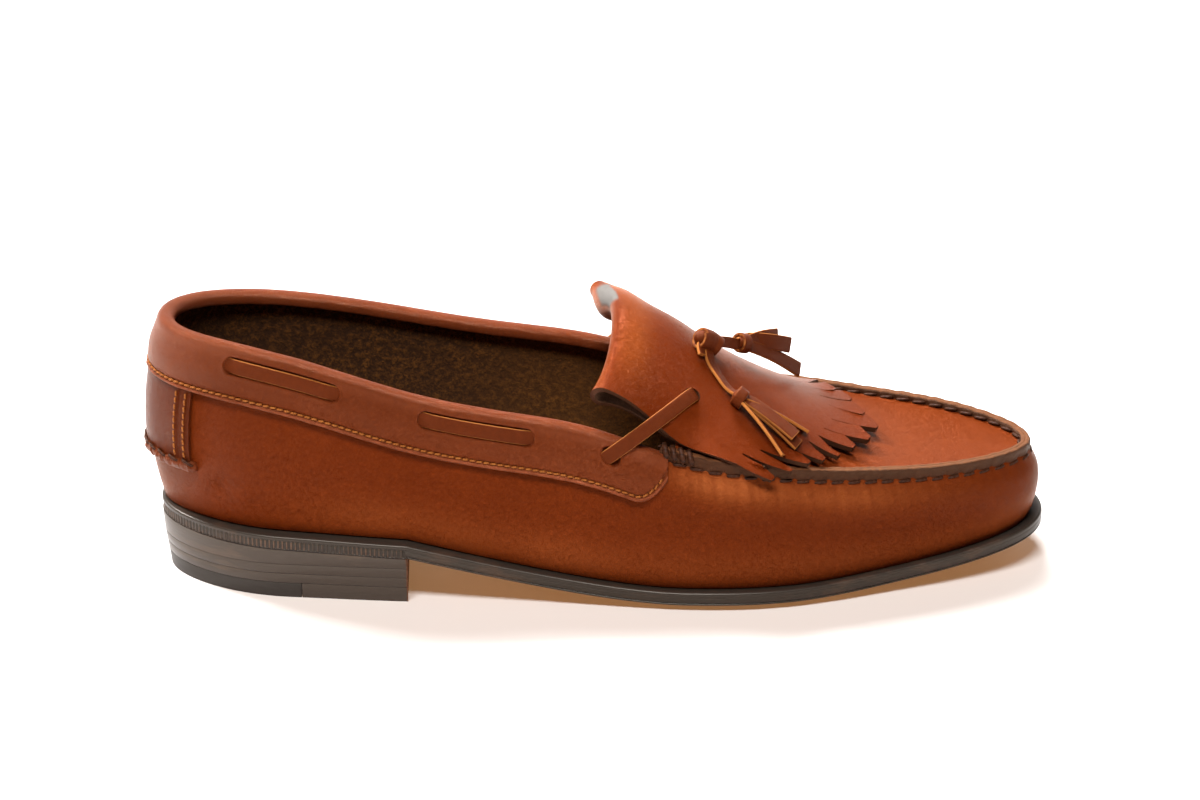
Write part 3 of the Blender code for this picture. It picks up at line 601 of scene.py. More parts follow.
    def wall(self, s: Array, t: Array | float) -> Array:
        """Wall points at shares s round the shoe and t up the wall, on cubic Bezier profiles."""
        s, t = np.broadcast_arrays(np.asarray(s, float), np.asarray(t, float))
        return bezier(t[..., None], *self.controls(s))

    def wall_normal(self, s: Array, t: Array | float) -> Array:
        """Outward normals of the wall, by differences."""
        round_step, up_step = 5e-4, 0.004
        s, t = np.broadcast_arrays(np.asarray(s, float), np.asarray(t, float))
        round_ = self.wall(s + round_step, t) - self.wall(s - round_step, t)
        up = self.wall(s, np.minimum(t + up_step, 1)) - self.wall(s, np.maximum(t - up_step, 0))
        return unit(np.cross(up, round_))

    def share_at(self, s: Array, height: Array) -> Array:
        """Shares up the wall where its profiles pass a height, by halving."""
        s, height = np.broadcast_arrays(np.asarray(s, float), np.asarray(height, float))
        low, high = np.zeros(s.shape), np.ones(s.shape)
        lines = [line[..., 2] for line in self.controls(s)]
        for _ in range(26):
            t = (low + high) / 2
            below = bezier(t, *lines) < height
            low, high = np.where(below, t, low), np.where(below, high, t)
        return (low + high) / 2

    def turn_at(self, x: float) -> float:
        """Share round the shoe at which the top edge passes x."""
        back, front = self.top_ends
        return math.acos(1 - 2 * (x - back) / (front - back)) / math.pi

    def even_turns(self, low: float, high: float, count: int, t: float) -> Array:
        """Shares between two ends, evenly spaced by length at a share t up the wall."""
        s = np.linspace(low, high, 4001)
        length = run_length(self.wall(s, t))
        return np.interp(np.linspace(0, length[-1], count), length, s)

    def apron(self, turn: Array, v: Array) -> Array:
        """Apron points: straight lines between both top edges, raised by a parabola across."""
        outer, inner = self.wall(-turn, 1.0), self.wall(turn, 1.0)
        v = np.asarray(v, float)[..., None]
        point = outer * (1 - v) / 2 + inner * (1 + v) / 2
        point[..., 2] += self.upper.read("crown", outer[..., 0]) * (1 - v[..., 0] ** 2)
        return point


def srgb(red: float, green: float, blue: float) -> Colour:
    """A colour of 0 to 255 steps as linear light, with an alpha of 1."""
    c = np.array([red, green, blue]) / 255
    return (*np.where(c <= 0.04045, c / 12.92, ((c + 0.055) / 1.055) ** 2.4), 1.0)


def scaled(colour: Colour, *shares: float) -> Colour:
    """A colour with its red, green and blue multiplied by one share, or by one each."""
    return (*(np.array(colour[:3]) * shares), 1.0)


@dataclass
class Tree:
    """Adds and joins nodes in a shader tree."""

    tree: NodeTree

    def feed(self, node: Node, inputs: Inputs) -> None:
        """Links sockets to a node's inputs, or sets values on them, by input name or number."""
        for key, value in inputs.items():
            if isinstance(value, Socket):
                self.tree.links.new(value, node.inputs[key])
            else:
                node.inputs[key].default_value = value

    def node(self, kind: str, inputs: Inputs | None = None, **settings: object) -> Node:
        """Adds a node.

        Args:
            kind: The node's type, without its ShaderNode prefix where it has one.
            inputs: Values or sockets by input name or number.
            **settings: The node's own settings.

        Returns:
            The node.
        """
        made = self.tree.nodes.new(kind if kind.startswith("Node") else "ShaderNode" + kind)
        for name, value in settings.items():
            setattr(made, name, value)
        self.feed(made, inputs or {})
        return made

    def group(self, tree: NodeTree, place: Socket, **inputs: object) -> Node:
        """Adds a node group that works on a place, with its other inputs."""
        return self.node("Group", {"Vector": place, **inputs}, node_tree=tree)

    def mark(self, name: str) -> Socket:
        """A mark on the points of the mesh."""
        return self.node("Attribute", attribute_name=name).outputs["Fac"]

    def math(self, operation: str, a: object, b: object, clamp: bool = False) -> Socket:
        """One operation on two values."""
        return self.node("Math", {0: a, 1: b}, operation=operation, use_clamp=clamp).outputs[0]

    def times(self, a: object, b: object) -> Socket:
        """The product of two values."""
        return self.math("MULTIPLY", a, b)

    def plus(self, a: object, b: object, clamp: bool = False) -> Socket:
        """The sum of two values."""
        return self.math("ADD", a, b, clamp)

    def mix(self, share: object, a: object, b: object) -> Socket:
        """A mix of two colours."""
        return self.node("Mix", {0: share, 6: a, 7: b}, data_type="RGBA").outputs[2]

    def steps(self, value: object, low: float, high: float, start: float = 0.0, end: float = 1.0) -> Socket:
        """A value spread from low..high to start..end, smoothly and held within."""
        spread = {0: value, 1: low, 2: high, 3: start, 4: end}
        return self.node("MapRange", spread, interpolation_type="SMOOTHSTEP").outputs[0]

    def noise(self, place: Socket, scale: object, detail: float, roughness: float) -> Socket:
        """Noise between 0 and 1."""
        inputs = {"Vector": place, "Scale": scale, "Detail": detail, "Roughness": roughness}
        return self.node("TexNoise", inputs).outputs[0]

    def bump(self, height: Socket, depth: float, strength: float = 1.0) -> Socket:
        """A normal bent by a height, for depths in metres."""
        return self.node("Bump", {"Height": height, "Distance": depth, "Strength": strength}).outputs[0]


class Effects:
    """Node groups that several finishes use."""

    def __init__(self) -> None:
        """Builds every group once."""
        self.grain = self._grain()
        self.tone = self._tone()
        self.cut_edge = self._cut_edge()
        self.nap = self._nap()
        self.lines = self._lines()

    @staticmethod
    def _start(
        name: str, inputs: dict[str, str], outputs: dict[str, str]
    ) -> tuple[Tree, dict[str, Socket], Node]:
        """A new group with its sockets.

        Args:
            name: The group's name.
            inputs: Socket types by name, next to the place that every group works on.
            outputs: Socket types by name.

        Returns:
            The tree, its inputs by name and its output node.
        """
        group = bpy.data.node_groups.new(name, "ShaderNodeTree")
        for direction, sockets in (("INPUT", {"Vector": "Vector", **inputs}), ("OUTPUT", outputs)):
            for socket, kind in sockets.items():
                group.interface.new_socket(socket, in_out=direction, socket_type="NodeSocket" + kind)
        tree = Tree(group)
        entry = tree.node("NodeGroupInput")
        return tree, {name: entry.outputs[name] for name in ("Vector", *inputs)}, tree.node("NodeGroupOutput")

    def _grain(self) -> NodeTree:
        """Leather grain: cells with soft valleys, bent by noise, with finer noise and long wrinkles."""
        tree, given, out = self._start(
            "leather_grain", {"Cells": "Float", "Wrinkle": "Float"}, {"Height": "Float", "Valley": "Float"}
        )
        place = given["Vector"]
        warp = tree.node("TexNoise", {"Vector": place, "Scale": 300.0, "Detail": 2.0}).outputs[1]
        shift = tree.node("VectorMath", {0: warp, "Scale": 0.0006}, operation="SCALE").outputs[0]
        bent = tree.node("VectorMath", {0: place, 1: warp, 2: shift}, operation="MULTIPLY_ADD").outputs[0]
        cells = tree.node("TexVoronoi", {"Vector": bent, "Scale": given["Cells"]}, feature="DISTANCE_TO_EDGE")
        valley = tree.steps(cells.outputs["Distance"], 0.0, 0.22)
        fine = tree.noise(place, tree.times(given["Cells"], 2.3), 2.0, 0.55)
        wrinkle = tree.times(tree.noise(place, 160.0, 3.0, 0.6), given["Wrinkle"])
        height = tree.plus(tree.plus(tree.times(valley, 0.55), tree.times(fine, 0.3)), wrinkle)
        tree.feed(out, {"Height": height, "Valley": valley})
        return tree.tree

    def _tone(self) -> NodeTree:
        """Uneven dye: clouds a few centimetres wide and a fine mottle between a light and a dark colour."""
        dyes = {"Light": "Color", "Dark": "Color", "Contrast": "Float"}
        tree, given, out = self._start("dye_tone", dyes, {"Color": "Color", "Cloud": "Float"})
        place = given["Vector"]
        cloud = tree.steps(tree.noise(place, 26.0, 1.0, 0.4), 0.15, 0.85)
        mottle = tree.steps(tree.noise(place, 520.0, 3.0, 0.7), 0.25, 0.75)
        both = tree.plus(tree.times(cloud, 0.45), tree.times(mottle, 0.55))
        share = tree.math("MULTIPLY", both, given["Contrast"], True)
        tree.feed(out, {"Color": tree.mix(share, given["Light"], given["Dark"]), "Cloud": cloud})
        return tree.tree

    def _cut_edge(self) -> NodeTree:
        """Raw or rubbed edge: lays an edge colour over a base where a mark says so, broken up by noise."""
        parts = {"Base": "Color", "Edge": "Color", "Mark": "Float"}
        tree, given, out = self._start("cut_edge", parts, {"Color": "Color", "Mask": "Float"})
        broken = tree.math("SUBTRACT", tree.noise(given["Vector"], 900.0, 3.0, 0.6), 0.5)
        reach = tree.plus(given["Mark"], tree.times(broken, 0.7))
        mask = tree.times(tree.steps(reach, 0.35, 0.75), tree.steps(given["Mark"], 0.0, 0.15))
        tree.feed(out, {"Color": tree.mix(mask, given["Base"], given["Edge"]), "Mask": mask})
        return tree.tree

    def _nap(self) -> NodeTree:
        """Flesh side: short fibres in tufts, as a height and a mask of the lighter tips."""
        tree, given, out = self._start("nap", {"Fibre": "Float"}, {"Height": "Float", "Tips": "Float"})
        tuft = tree.noise(given["Vector"], tree.times(given["Fibre"], 0.35), 3.0, 0.6)
        fibre = tree.noise(given["Vector"], given["Fibre"], 4.0, 0.75)
        height = tree.plus(tree.times(tuft, 0.5), tree.times(fibre, 0.5))
        tree.feed(out, {"Height": height, "Tips": tree.steps(height, 0.43, 0.68)})
        return tree.tree

    def _lines(self) -> NodeTree:
        """Fine rubbed lines that run level round an edge, as a mask and a height."""
        masks = {"Mask": "Float", "Height": "Float"}
        tree, given, out = self._start("level_lines", {"Lines": "Float"}, masks)
        wide = tree.node("VectorMath", {0: given["Vector"], 1: (9.0, 9.0, 1.0)}, operation="MULTIPLY")
        x, y, z = tree.node("SeparateXYZ", {0: wide.outputs[0]}).outputs
        place = tree.node("CombineXYZ", {0: x, 1: y, 2: tree.times(z, given["Lines"])}).outputs[0]
        lines = tree.noise(place, 4.0, 4.0, 0.7)
        tree.feed(out, {"Mask": tree.steps(lines, 0.52, 0.7), "Height": lines})
        return tree.tree


@dataclass(frozen=True)
class Finish:
    """A finish on the Principled shader that reads the piece's Object coordinates."""

    name: str

    def make(self, effects: Effects) -> Material:
        """Builds the material from the inputs that the finish works out."""
        made = bpy.data.materials.new(self.name)
        made.use_nodes = True
        tree = Tree(made.node_tree)
        place = tree.node("TexCoord").outputs["Object"]
        tree.feed(made.node_tree.nodes["Principled BSDF"], self.inputs(tree, place, effects))
        return made

    def inputs(self, tree: Tree, place: Socket, effects: Effects) -> Inputs:
        """The shader's inputs by name, as values or sockets."""
        raise NotImplementedError


@dataclass(frozen=True)
class Leather(Finish):
    """Dyed grain leather that reads its marks: edge, painted shade, painted light for highlights and
    reflections, and pale for flesh.
    """

    light: Colour
    dark: Colour
    edge: Colour
    contrast: float = 0.8
    roughness: float = 0.29
    rough_spread: float = 0.03
    flesh_rough: float = 0.5
    edge_rough: float = 0.3
    cells: float = 680.0
    depth: float = 0.0001
    wrinkle: float = 0.12
    shade_share: float = 0.75
    shade_dim: float = 0.35
    valley_share: float = 0.4
    valley_dim: float = 0.5
    # Colour of the painted highlights, as shares of the light dye.
    lit: tuple[float, float, float] = (2.2, 3.6, 9.0)
    specular: float = 0.45
    tint: Colour = (1.0, 0.74, 0.48, 1.0)
    warm: float = 0.15
    pale: Colour = (0.15, 0.14, 0.13, 1.0)

    def inputs(self, tree: Tree, place: Socket, effects: Effects) -> Inputs:
        """Dye tone, painted shade, grain valleys, painted highlights, cut edge, flesh side, grain bump and
        uneven gloss.
        """
        tone = tree.group(effects.tone, place, Light=self.light, Dark=self.dark, Contrast=self.contrast)
        grain = tree.group(effects.grain, place, Cells=self.cells, Wrinkle=self.wrinkle)
        cloud, flesh = tone.outputs["Cloud"], tree.mark("pale")
        shade = tree.times(tree.mark("shade"), self.shade_share)
        colour = tree.mix(shade, tone.outputs["Color"], scaled(self.dark, self.shade_dim))
        valley = tree.times(tree.math("SUBTRACT", 1.0, grain.outputs["Valley"]), self.valley_share)
        colour = tree.mix(valley, colour, scaled(self.dark, self.valley_dim))
        # Painted highlights and reflections: a lighter colour laid where the mark says.
        lit = tree.times(tree.mark("lit"), tree.steps(cloud, 0.9, 0.1, 0.6, 1.0))
        colour = tree.mix(lit, colour, scaled(self.light, *self.lit))
        edge = tree.group(effects.cut_edge, place, Base=colour, Edge=self.edge, Mark=tree.mark("edge"))
        rough = tree.steps(cloud, 0.0, 1.0, self.roughness, self.roughness + self.rough_spread)
        rough = tree.plus(rough, tree.times(flesh, self.flesh_rough), True)
        rough = tree.plus(rough, tree.times(edge.outputs["Mask"], self.edge_rough), True)
        return {
            "Base Color": tree.mix(flesh, edge.outputs["Color"], self.pale),
            "Roughness": rough,
            "Normal": tree.bump(grain.outputs["Height"], self.depth),
            "Metallic": self.warm,
            "Specular IOR Level": self.specular,
            "Specular Tint": self.tint,
        }


@dataclass(frozen=True)
class Flesh(Finish):
    """Rough flesh side of the leather: matt, with lighter nap tips, and painted light that shows more of them
    towards the front.
    """

    ground: Colour
    tips: Colour
    fibre: float = 1500.0
    depth: float = 0.0016
    front: Span = (-0.06, 0.0)
    front_share: float = 0.7

    def inputs(self, tree: Tree, place: Socket, effects: Effects) -> Inputs:
        """The nap in slow patches, painted light that shows more of its tips at the front, its bump and a
        faint sheen.
        """
        nap = tree.group(effects.nap, place, Fibre=self.fibre)
        height = nap.outputs["Height"]
        patch = tree.steps(tree.noise(place, 45.0, 2.0, 0.5), 0.25, 0.75, 0.4, 1.0)
        colour = tree.mix(tree.times(nap.outputs["Tips"], patch), self.ground, self.tips)
        # Painted light: more of the light nap tips show towards the front.
        front = tree.steps(tree.node("SeparateXYZ", {0: place}).outputs[0], *self.front)
        ahead = tree.times(tree.times(front, height), self.front_share)
        return {
            "Base Color": tree.mix(ahead, colour, self.tips),
            "Normal": tree.bump(height, self.depth),
            "Roughness": 0.95,
            "Specular IOR Level": 0.2,
            "Sheen Weight": 0.06,
            "Sheen Tint": (0.6, 0.34, 0.14, 1.0),
        }


@dataclass(frozen=True)
class Inked(Finish):
    """Sole and heel leather: inked where the mark ink is set, bare elsewhere, rubbed where worn is set."""

    ink: Colour
    rubbed: Colour
    bare: Colour
    roughness: float = 0.34
    bare_rough: float = 0.62
    line_rough: float = 0.12
    lines: float = 26.0
    line_share: float = 0.35
    depth: float = 0.00015

    def inputs(self, tree: Tree, place: Socket, effects: Effects) -> Inputs:
        """Bare leather under ink, level rubbed lines, worn edges and uneven gloss."""
        level = tree.group(effects.lines, place, Lines=self.lines)
        tone = tree.group(effects.tone, place, Light=self.bare, Dark=scaled(self.bare, 0.55), Contrast=0.9)
        mask, ink = level.outputs["Mask"], tree.mark("ink")
        lined = tree.mix(tree.times(mask, self.line_share), self.ink, self.rubbed)
        edge = tree.group(effects.cut_edge, place, Base=lined, Edge=self.rubbed, Mark=tree.mark("worn"))
        rough = tree.steps(ink, 0.2, 0.8, self.bare_rough, self.roughness)
        return {
            "Base Color": tree.mix(ink, tone.outputs["Color"], edge.outputs["Color"]),
            "Roughness": tree.plus(rough, tree.times(mask, self.line_rough), True),
            "Normal": tree.bump(level.outputs["Height"], self.depth),
            "Specular IOR Level": 0.35,
            "Specular Tint": (1.0, 0.9, 0.8, 1.0),
        }


@dataclass(frozen=True)
class Thread(Finish):
    """Twisted thread, with its strands as slanting lines along the mark twist."""

    light: Colour
    dark: Colour
    depth: float = 0.0001

    def inputs(self, tree: Tree, place: Socket, effects: Effects) -> Inputs:
        """Strand stripes and an uneven dye."""
        tone = tree.group(effects.tone, place, Light=self.light, Dark=self.dark, Contrast=0.9)
        strand = tree.times(tree.math("PINGPONG", tree.mark("twist"), 0.5), 2.0)
        groove = tree.steps(strand, 0.0, 0.5, 0.6, 0.0)
        return {
            "Base Color": tree.mix(groove, tone.outputs["Color"], scaled(self.dark, 0.4)),
            "Normal": tree.bump(strand, self.depth, 0.8),
            "Roughness": 0.5,
            "Specular IOR Level": 0.1,
        }


def make_finishes() -> dict[str, Material]:
    """Makes every finish of the shoe once, by the name that the pieces ask for."""
    raw, rubber = srgb(160, 96, 44), srgb(49, 44, 41)
    recipes: dict[str, Finish] = {
        "upper": Leather(
            "upper_calf", srgb(119, 46, 9), srgb(97, 33, 4), srgb(76, 34, 12), specular=0.08, warm=0.2
        ),
        "band": Leather(
            "band_calf", srgb(122, 51, 18), srgb(100, 38, 11), srgb(104, 52, 20), cells=720.0, depth=0.00013,
            roughness=0.3, specular=0.22,
        ),
        "flap": Leather(
            "flap_calf", srgb(113, 41, 5), srgb(93, 30, 3), srgb(72, 32, 11), specular=0.08, warm=0.22
        ),
        "patch": Leather(
            "heel_calf", srgb(98, 37, 8), srgb(80, 28, 4), srgb(90, 42, 15), specular=0.08, warm=0.06
        ),
        "cut": Leather(
            "cut_edge_leather", srgb(72, 32, 12), srgb(50, 20, 6), srgb(96, 50, 18), roughness=0.62,
            cells=2600.0,
        ),
        "ridge": Leather(
            "ridge_leather", srgb(74, 35, 16), srgb(52, 22, 8), srgb(108, 62, 34), roughness=0.45,
            cells=1600.0, depth=0.00006,
        ),
        "lace": Leather(
            "lace_leather", srgb(104, 41, 12), srgb(80, 29, 7), raw, roughness=0.4, cells=1500.0,
            depth=0.00004, specular=0.15,
        ),
        "lining": Flesh("flesh_lining", srgb(54, 29, 11), srgb(124, 76, 28)),
        "under": Flesh("flap_underside", srgb(66, 38, 24), srgb(100, 70, 50), fibre=2400.0, depth=0.0004),
        "sock": Leather("sock_leather", srgb(80, 50, 27), srgb(56, 33, 16), raw, roughness=0.6),
        "sole": Inked("sole_leather", srgb(48, 40, 34), srgb(92, 66, 50), srgb(166, 108, 60)),
        "stack": Inked(
            "heel_stack", srgb(68, 58, 51), srgb(98, 80, 66), srgb(110, 64, 34), roughness=0.38, lines=60.0,
            line_share=0.5, depth=0.0002,
        ),
        "rubber": Inked(
            "heel_rubber", rubber, srgb(64, 57, 52), rubber, roughness=0.52, lines=8.0, line_share=0.3
        ),
        "thread": Thread("band_thread", srgb(164, 98, 42), srgb(134, 70, 27)),
        "waxed": Thread("waxed_thread", srgb(70, 38, 22), srgb(44, 23, 13)),
    }
    effects = Effects()
    return {name: recipe.make(effects) for name, recipe in recipes.items()}


@dataclass
class Bottom:
    """Leather outsole with its inked edge, the stacked heel and the insole."""

    last: Last
    notch_pitch: float = 1.45
    notch_depth: float = 0.4
    top_piece: float = 5.5
    lifts: int = 3
    taper: float = 2.2
    rubber_length: float = 47.0
    seam: float = 0.1
    face_inset: float = 0.8
    fine_step: float = 0.24
    coarse_step: float = 1.5
    sole_spine: Span = (26.0, 268.0)
    insole_spine: Span = (30.0, 262.0)
    under_shares: tuple[float, ...] = (1.0, 0.8, 0.6, 0.4, 0.25, 0.12, 0.05, 0.03, 0.0)
    upper_shares: tuple[float, ...] = (0.0, 0.03, 0.08, 0.2, 0.5, 1.0)
    edge_heights: tuple[float, ...] = (
        0.12, 0.3, 0.5, 0.7, 0.82, 0.95, 1.08, 1.2, 1.5, 2.0,
        2.5, 2.9, 3.05, 3.2, 3.35, 3.6, 4.0, 4.3, 4.5, 4.68,
    )
    layer_rows: tuple[Span, ...] = (
        (0.0, 0.06), (0.03, 0.0), (0.5, 0.0), (0.97, 0.0), (1.0, 0.06)
    )
    insole_rows: tuple[Span, ...] = (
        (1.0, 0.0), (0.5, 0.0), (0.0, 0.0), (0.0, 2.1), (0.012, 2.4), (0.03, 2.5), (0.25, 2.5), (0.5, 2.5),
        (1.0, 2.5),
    )
    insole_reach: float = 0.9
    insole_points: int = 420
    back_points: int = 401
    side_points: int = 60

    def columns(self) -> tuple[Array, Array, Array]:
        """Outline points, outward plan normals and lengths along the outline, close together at the heel."""
        reach = 0.6
        outline = self.last.outline()
        loop = np.concatenate([outline, outline[:1]])
        length = run_length(loop)
        step = np.where(loop[:, 0] < self.last.heel_length + 2, self.fine_step, self.coarse_step)
        count = np.concatenate([[0], np.cumsum(np.diff(length) / ((step[:-1] + step[1:]) / 2))])
        at = np.interp(np.linspace(0, count[-1], int(count[-1]) + 1)[:-1], count, length)
        ahead, behind = (read_path(loop, (at + way) % length[-1]) for way in (reach, -reach))
        tangent = unit(ahead - behind)
        return read_path(loop, at), np.stack([tangent[:, 1], -tangent[:, 0]], -1), at

    def spine(self, x: Array, back: float, front: float) -> Array:
        """Points on the middle line that the flat faces close towards."""
        x = np.clip(x, back, front)
        cap = self.last.rounded(x, (0, self.last.sole_length))
        read = self.last.sole.read
        return np.stack([x, (read("inner", x) - read("outer", x)) / 2 * cap], -1)

    def face(self, point: Array, spine: Array, share: Array, reach: float = 1.0) -> Array:
        """Rows over the sole's underside, at shares of the way from an outline to the middle line."""
        plan = point * (1 - share[..., None]) + spine * share[..., None]
        z = self.last.sole_bottom(plan[..., 0]) + self.last.edge_lift(plan[..., 0], reach * (1 - share))
        return np.concatenate([plan, z[..., None]], -1)

    def outsole(self) -> Draft:
        """Sole: flat faces that close on the middle line, and an edge with a flange, notches and a groove."""
        last = self.last
        point, normal, at = self.columns()
        x = point[:, 0]
        spine, rim = self.spine(x, *self.sole_spine), point - normal * self.face_inset
        under = self.face(rim, spine, np.array(self.under_shares)[:, None])
        over = self.face(rim, spine, np.array(self.upper_shares)[:, None])
        over[..., 2] += last.sole_thick
        h = np.array(self.edge_heights)[:, None]
        seat = ease(last.heel_length + 1.0, last.heel_length - 1.5, x)
        fore = 1 - seat
        wave = 1.35 * np.cos(TURN * at / self.notch_pitch) + 0.35 * ripple(at, 3.0, 3)
        notch = np.clip(wave, -1, 1) / 2 + 0.5
        low_round = 0.55 * np.clip(1 - h / 0.5, 0, 1) ** 2
        high_round = 0.6 * np.clip(1 - (last.sole_thick - h) / 0.6, 0, 1) ** 2
        groove = 0.32 * bell(h, 0.95, 0.16) * fore + 0.1 * bell(h, 3.2, 0.2) * fore
        zone = ease(3.32, 3.05, h) * ease(0.1, 0.4, h)
        cut = seat * zone * (0.28 + self.notch_depth * (1 - notch))
        belly = 0.18 * fore * (1 - ((h - 2.4) / 2.4) ** 2)
        plan = point + normal * (belly - (low_round + high_round) - groove - cut)[..., None]
        z = last.sole_bottom(x) + last.edge_lift(x, 1.0) + h
        edge = np.concatenate([plan, z[..., None]], -1)
        rubbed = seat * zone * notch * (0.55 + 0.25 * ripple(at, 40.0, 8)) + 0.35 * bell(h, 0.3, 0.25) * fore
        grid = np.concatenate([under, edge, over])
        ink, worn = np.ones(grid.shape[:2]), np.zeros(grid.shape[:2])
        ink[: len(under) - 1] = 0.0
        worn[len(under) : len(under) + len(edge)] = rubbed
        return Draft().add(grid, quads(*grid.shape[:2], wrap_columns=True), ink=ink, worn=worn)

    def layer(self, low: float, high: float | None, back: float | None, front: float) -> Draft:
        """One layer of the heel: its outline carried up between two heights, with softened edges.

        Args:
            low: Height of its underside.
            high: Height of its top, or None where the top follows the sole.
            back: Where a straight cut starts it, or None for the round back.
            front: Where a straight cut ends it.

        Returns:
            The layer.
        """
        top = self.last.seat_front if high is None else high
        rows = []
        for share, pinch in self.layer_rows:
            z = low + (top - low) * share
            outline = self.last.outline(self.taper * max(0.0, 1 - z / self.last.seat_front), front)
            if back is None:
                outline = evenly(outline, self.back_points)
            else:
                outline = outline[outline[:, 0] >= back]
                half = len(outline) // 2
                sides = outline[:half], outline[half:]
                outline = np.concatenate([evenly(side, self.side_points) for side in sides])
            plan = outline + unit(outline.mean(0) - outline) * pinch
            height = np.full(len(plan), z)
            if high is None:
                height = low + (self.last.sole_bottom(plan[:, 0]) - self.seam - low) * share
            rows.append(np.column_stack([plan, height]))
        grid = np.stack(rows)
        breast = ease(front - 0.45, front - 0.2, grid[..., 0])
        return Draft().tube(grid, ink=1 - breast, worn=0.5 * breast)

    def insole(self) -> Draft:
        """Insole: a board inside the wall, its faces closing on the middle line."""
        last = self.last
        outline = last.outline(last.feather_inset + last.wall_thick + 2 * last.gap)
        point = evenly(np.concatenate([outline, outline[:1]]), self.insole_points + 1)[:-1]
        spine = self.spine(point[:, 0], *self.insole_spine)
        share, lift = np.array(self.insole_rows).T[..., None]
        grid = self.face(point, spine, share, self.insole_reach)
        grid[..., 2] += last.sole_thick + 2 * last.gap + lift
        return Draft().add(grid, quads(*grid.shape[:2], wrap_columns=True))

    def build(self, shop: Workshop) -> None:
        """Makes the sole, the heel's layers and the insole."""
        shop.piece("sole", self.outsole(), ["sole"], "sole_leather", ["outsole"], sharp=50)
        heel = self.last.heel_length
        base = self.top_piece + self.seam
        step = (self.last.seat_front - base) / self.lifts
        for k in range(self.lifts):
            high = None if k == self.lifts - 1 else base + (k + 1) * step - self.seam
            lift = self.layer(base + k * step, high, None, heel)
            node = f"heel_lift_{k + 1}"
            shop.piece(f"heel_layer_{k + 1}", lift, ["stack"], "heel_leather", [node], sharp=60)
        leather = self.layer(0.0, self.top_piece, self.rubber_length + self.seam, heel)
        shop.piece("heel_tread_leather", leather, ["stack"], "heel_leather", ["heel_top_piece"], sharp=60)
        rubber = self.layer(0.0, self.top_piece, None, self.rubber_length)
        shop.piece("heel_tread_rubber", rubber, ["rubber"], "heel_rubber", ["heel_rubber_tip"], sharp=60)
        shop.piece("insole_board", self.insole(), ["sock"], "insole_leather", ["insole"])


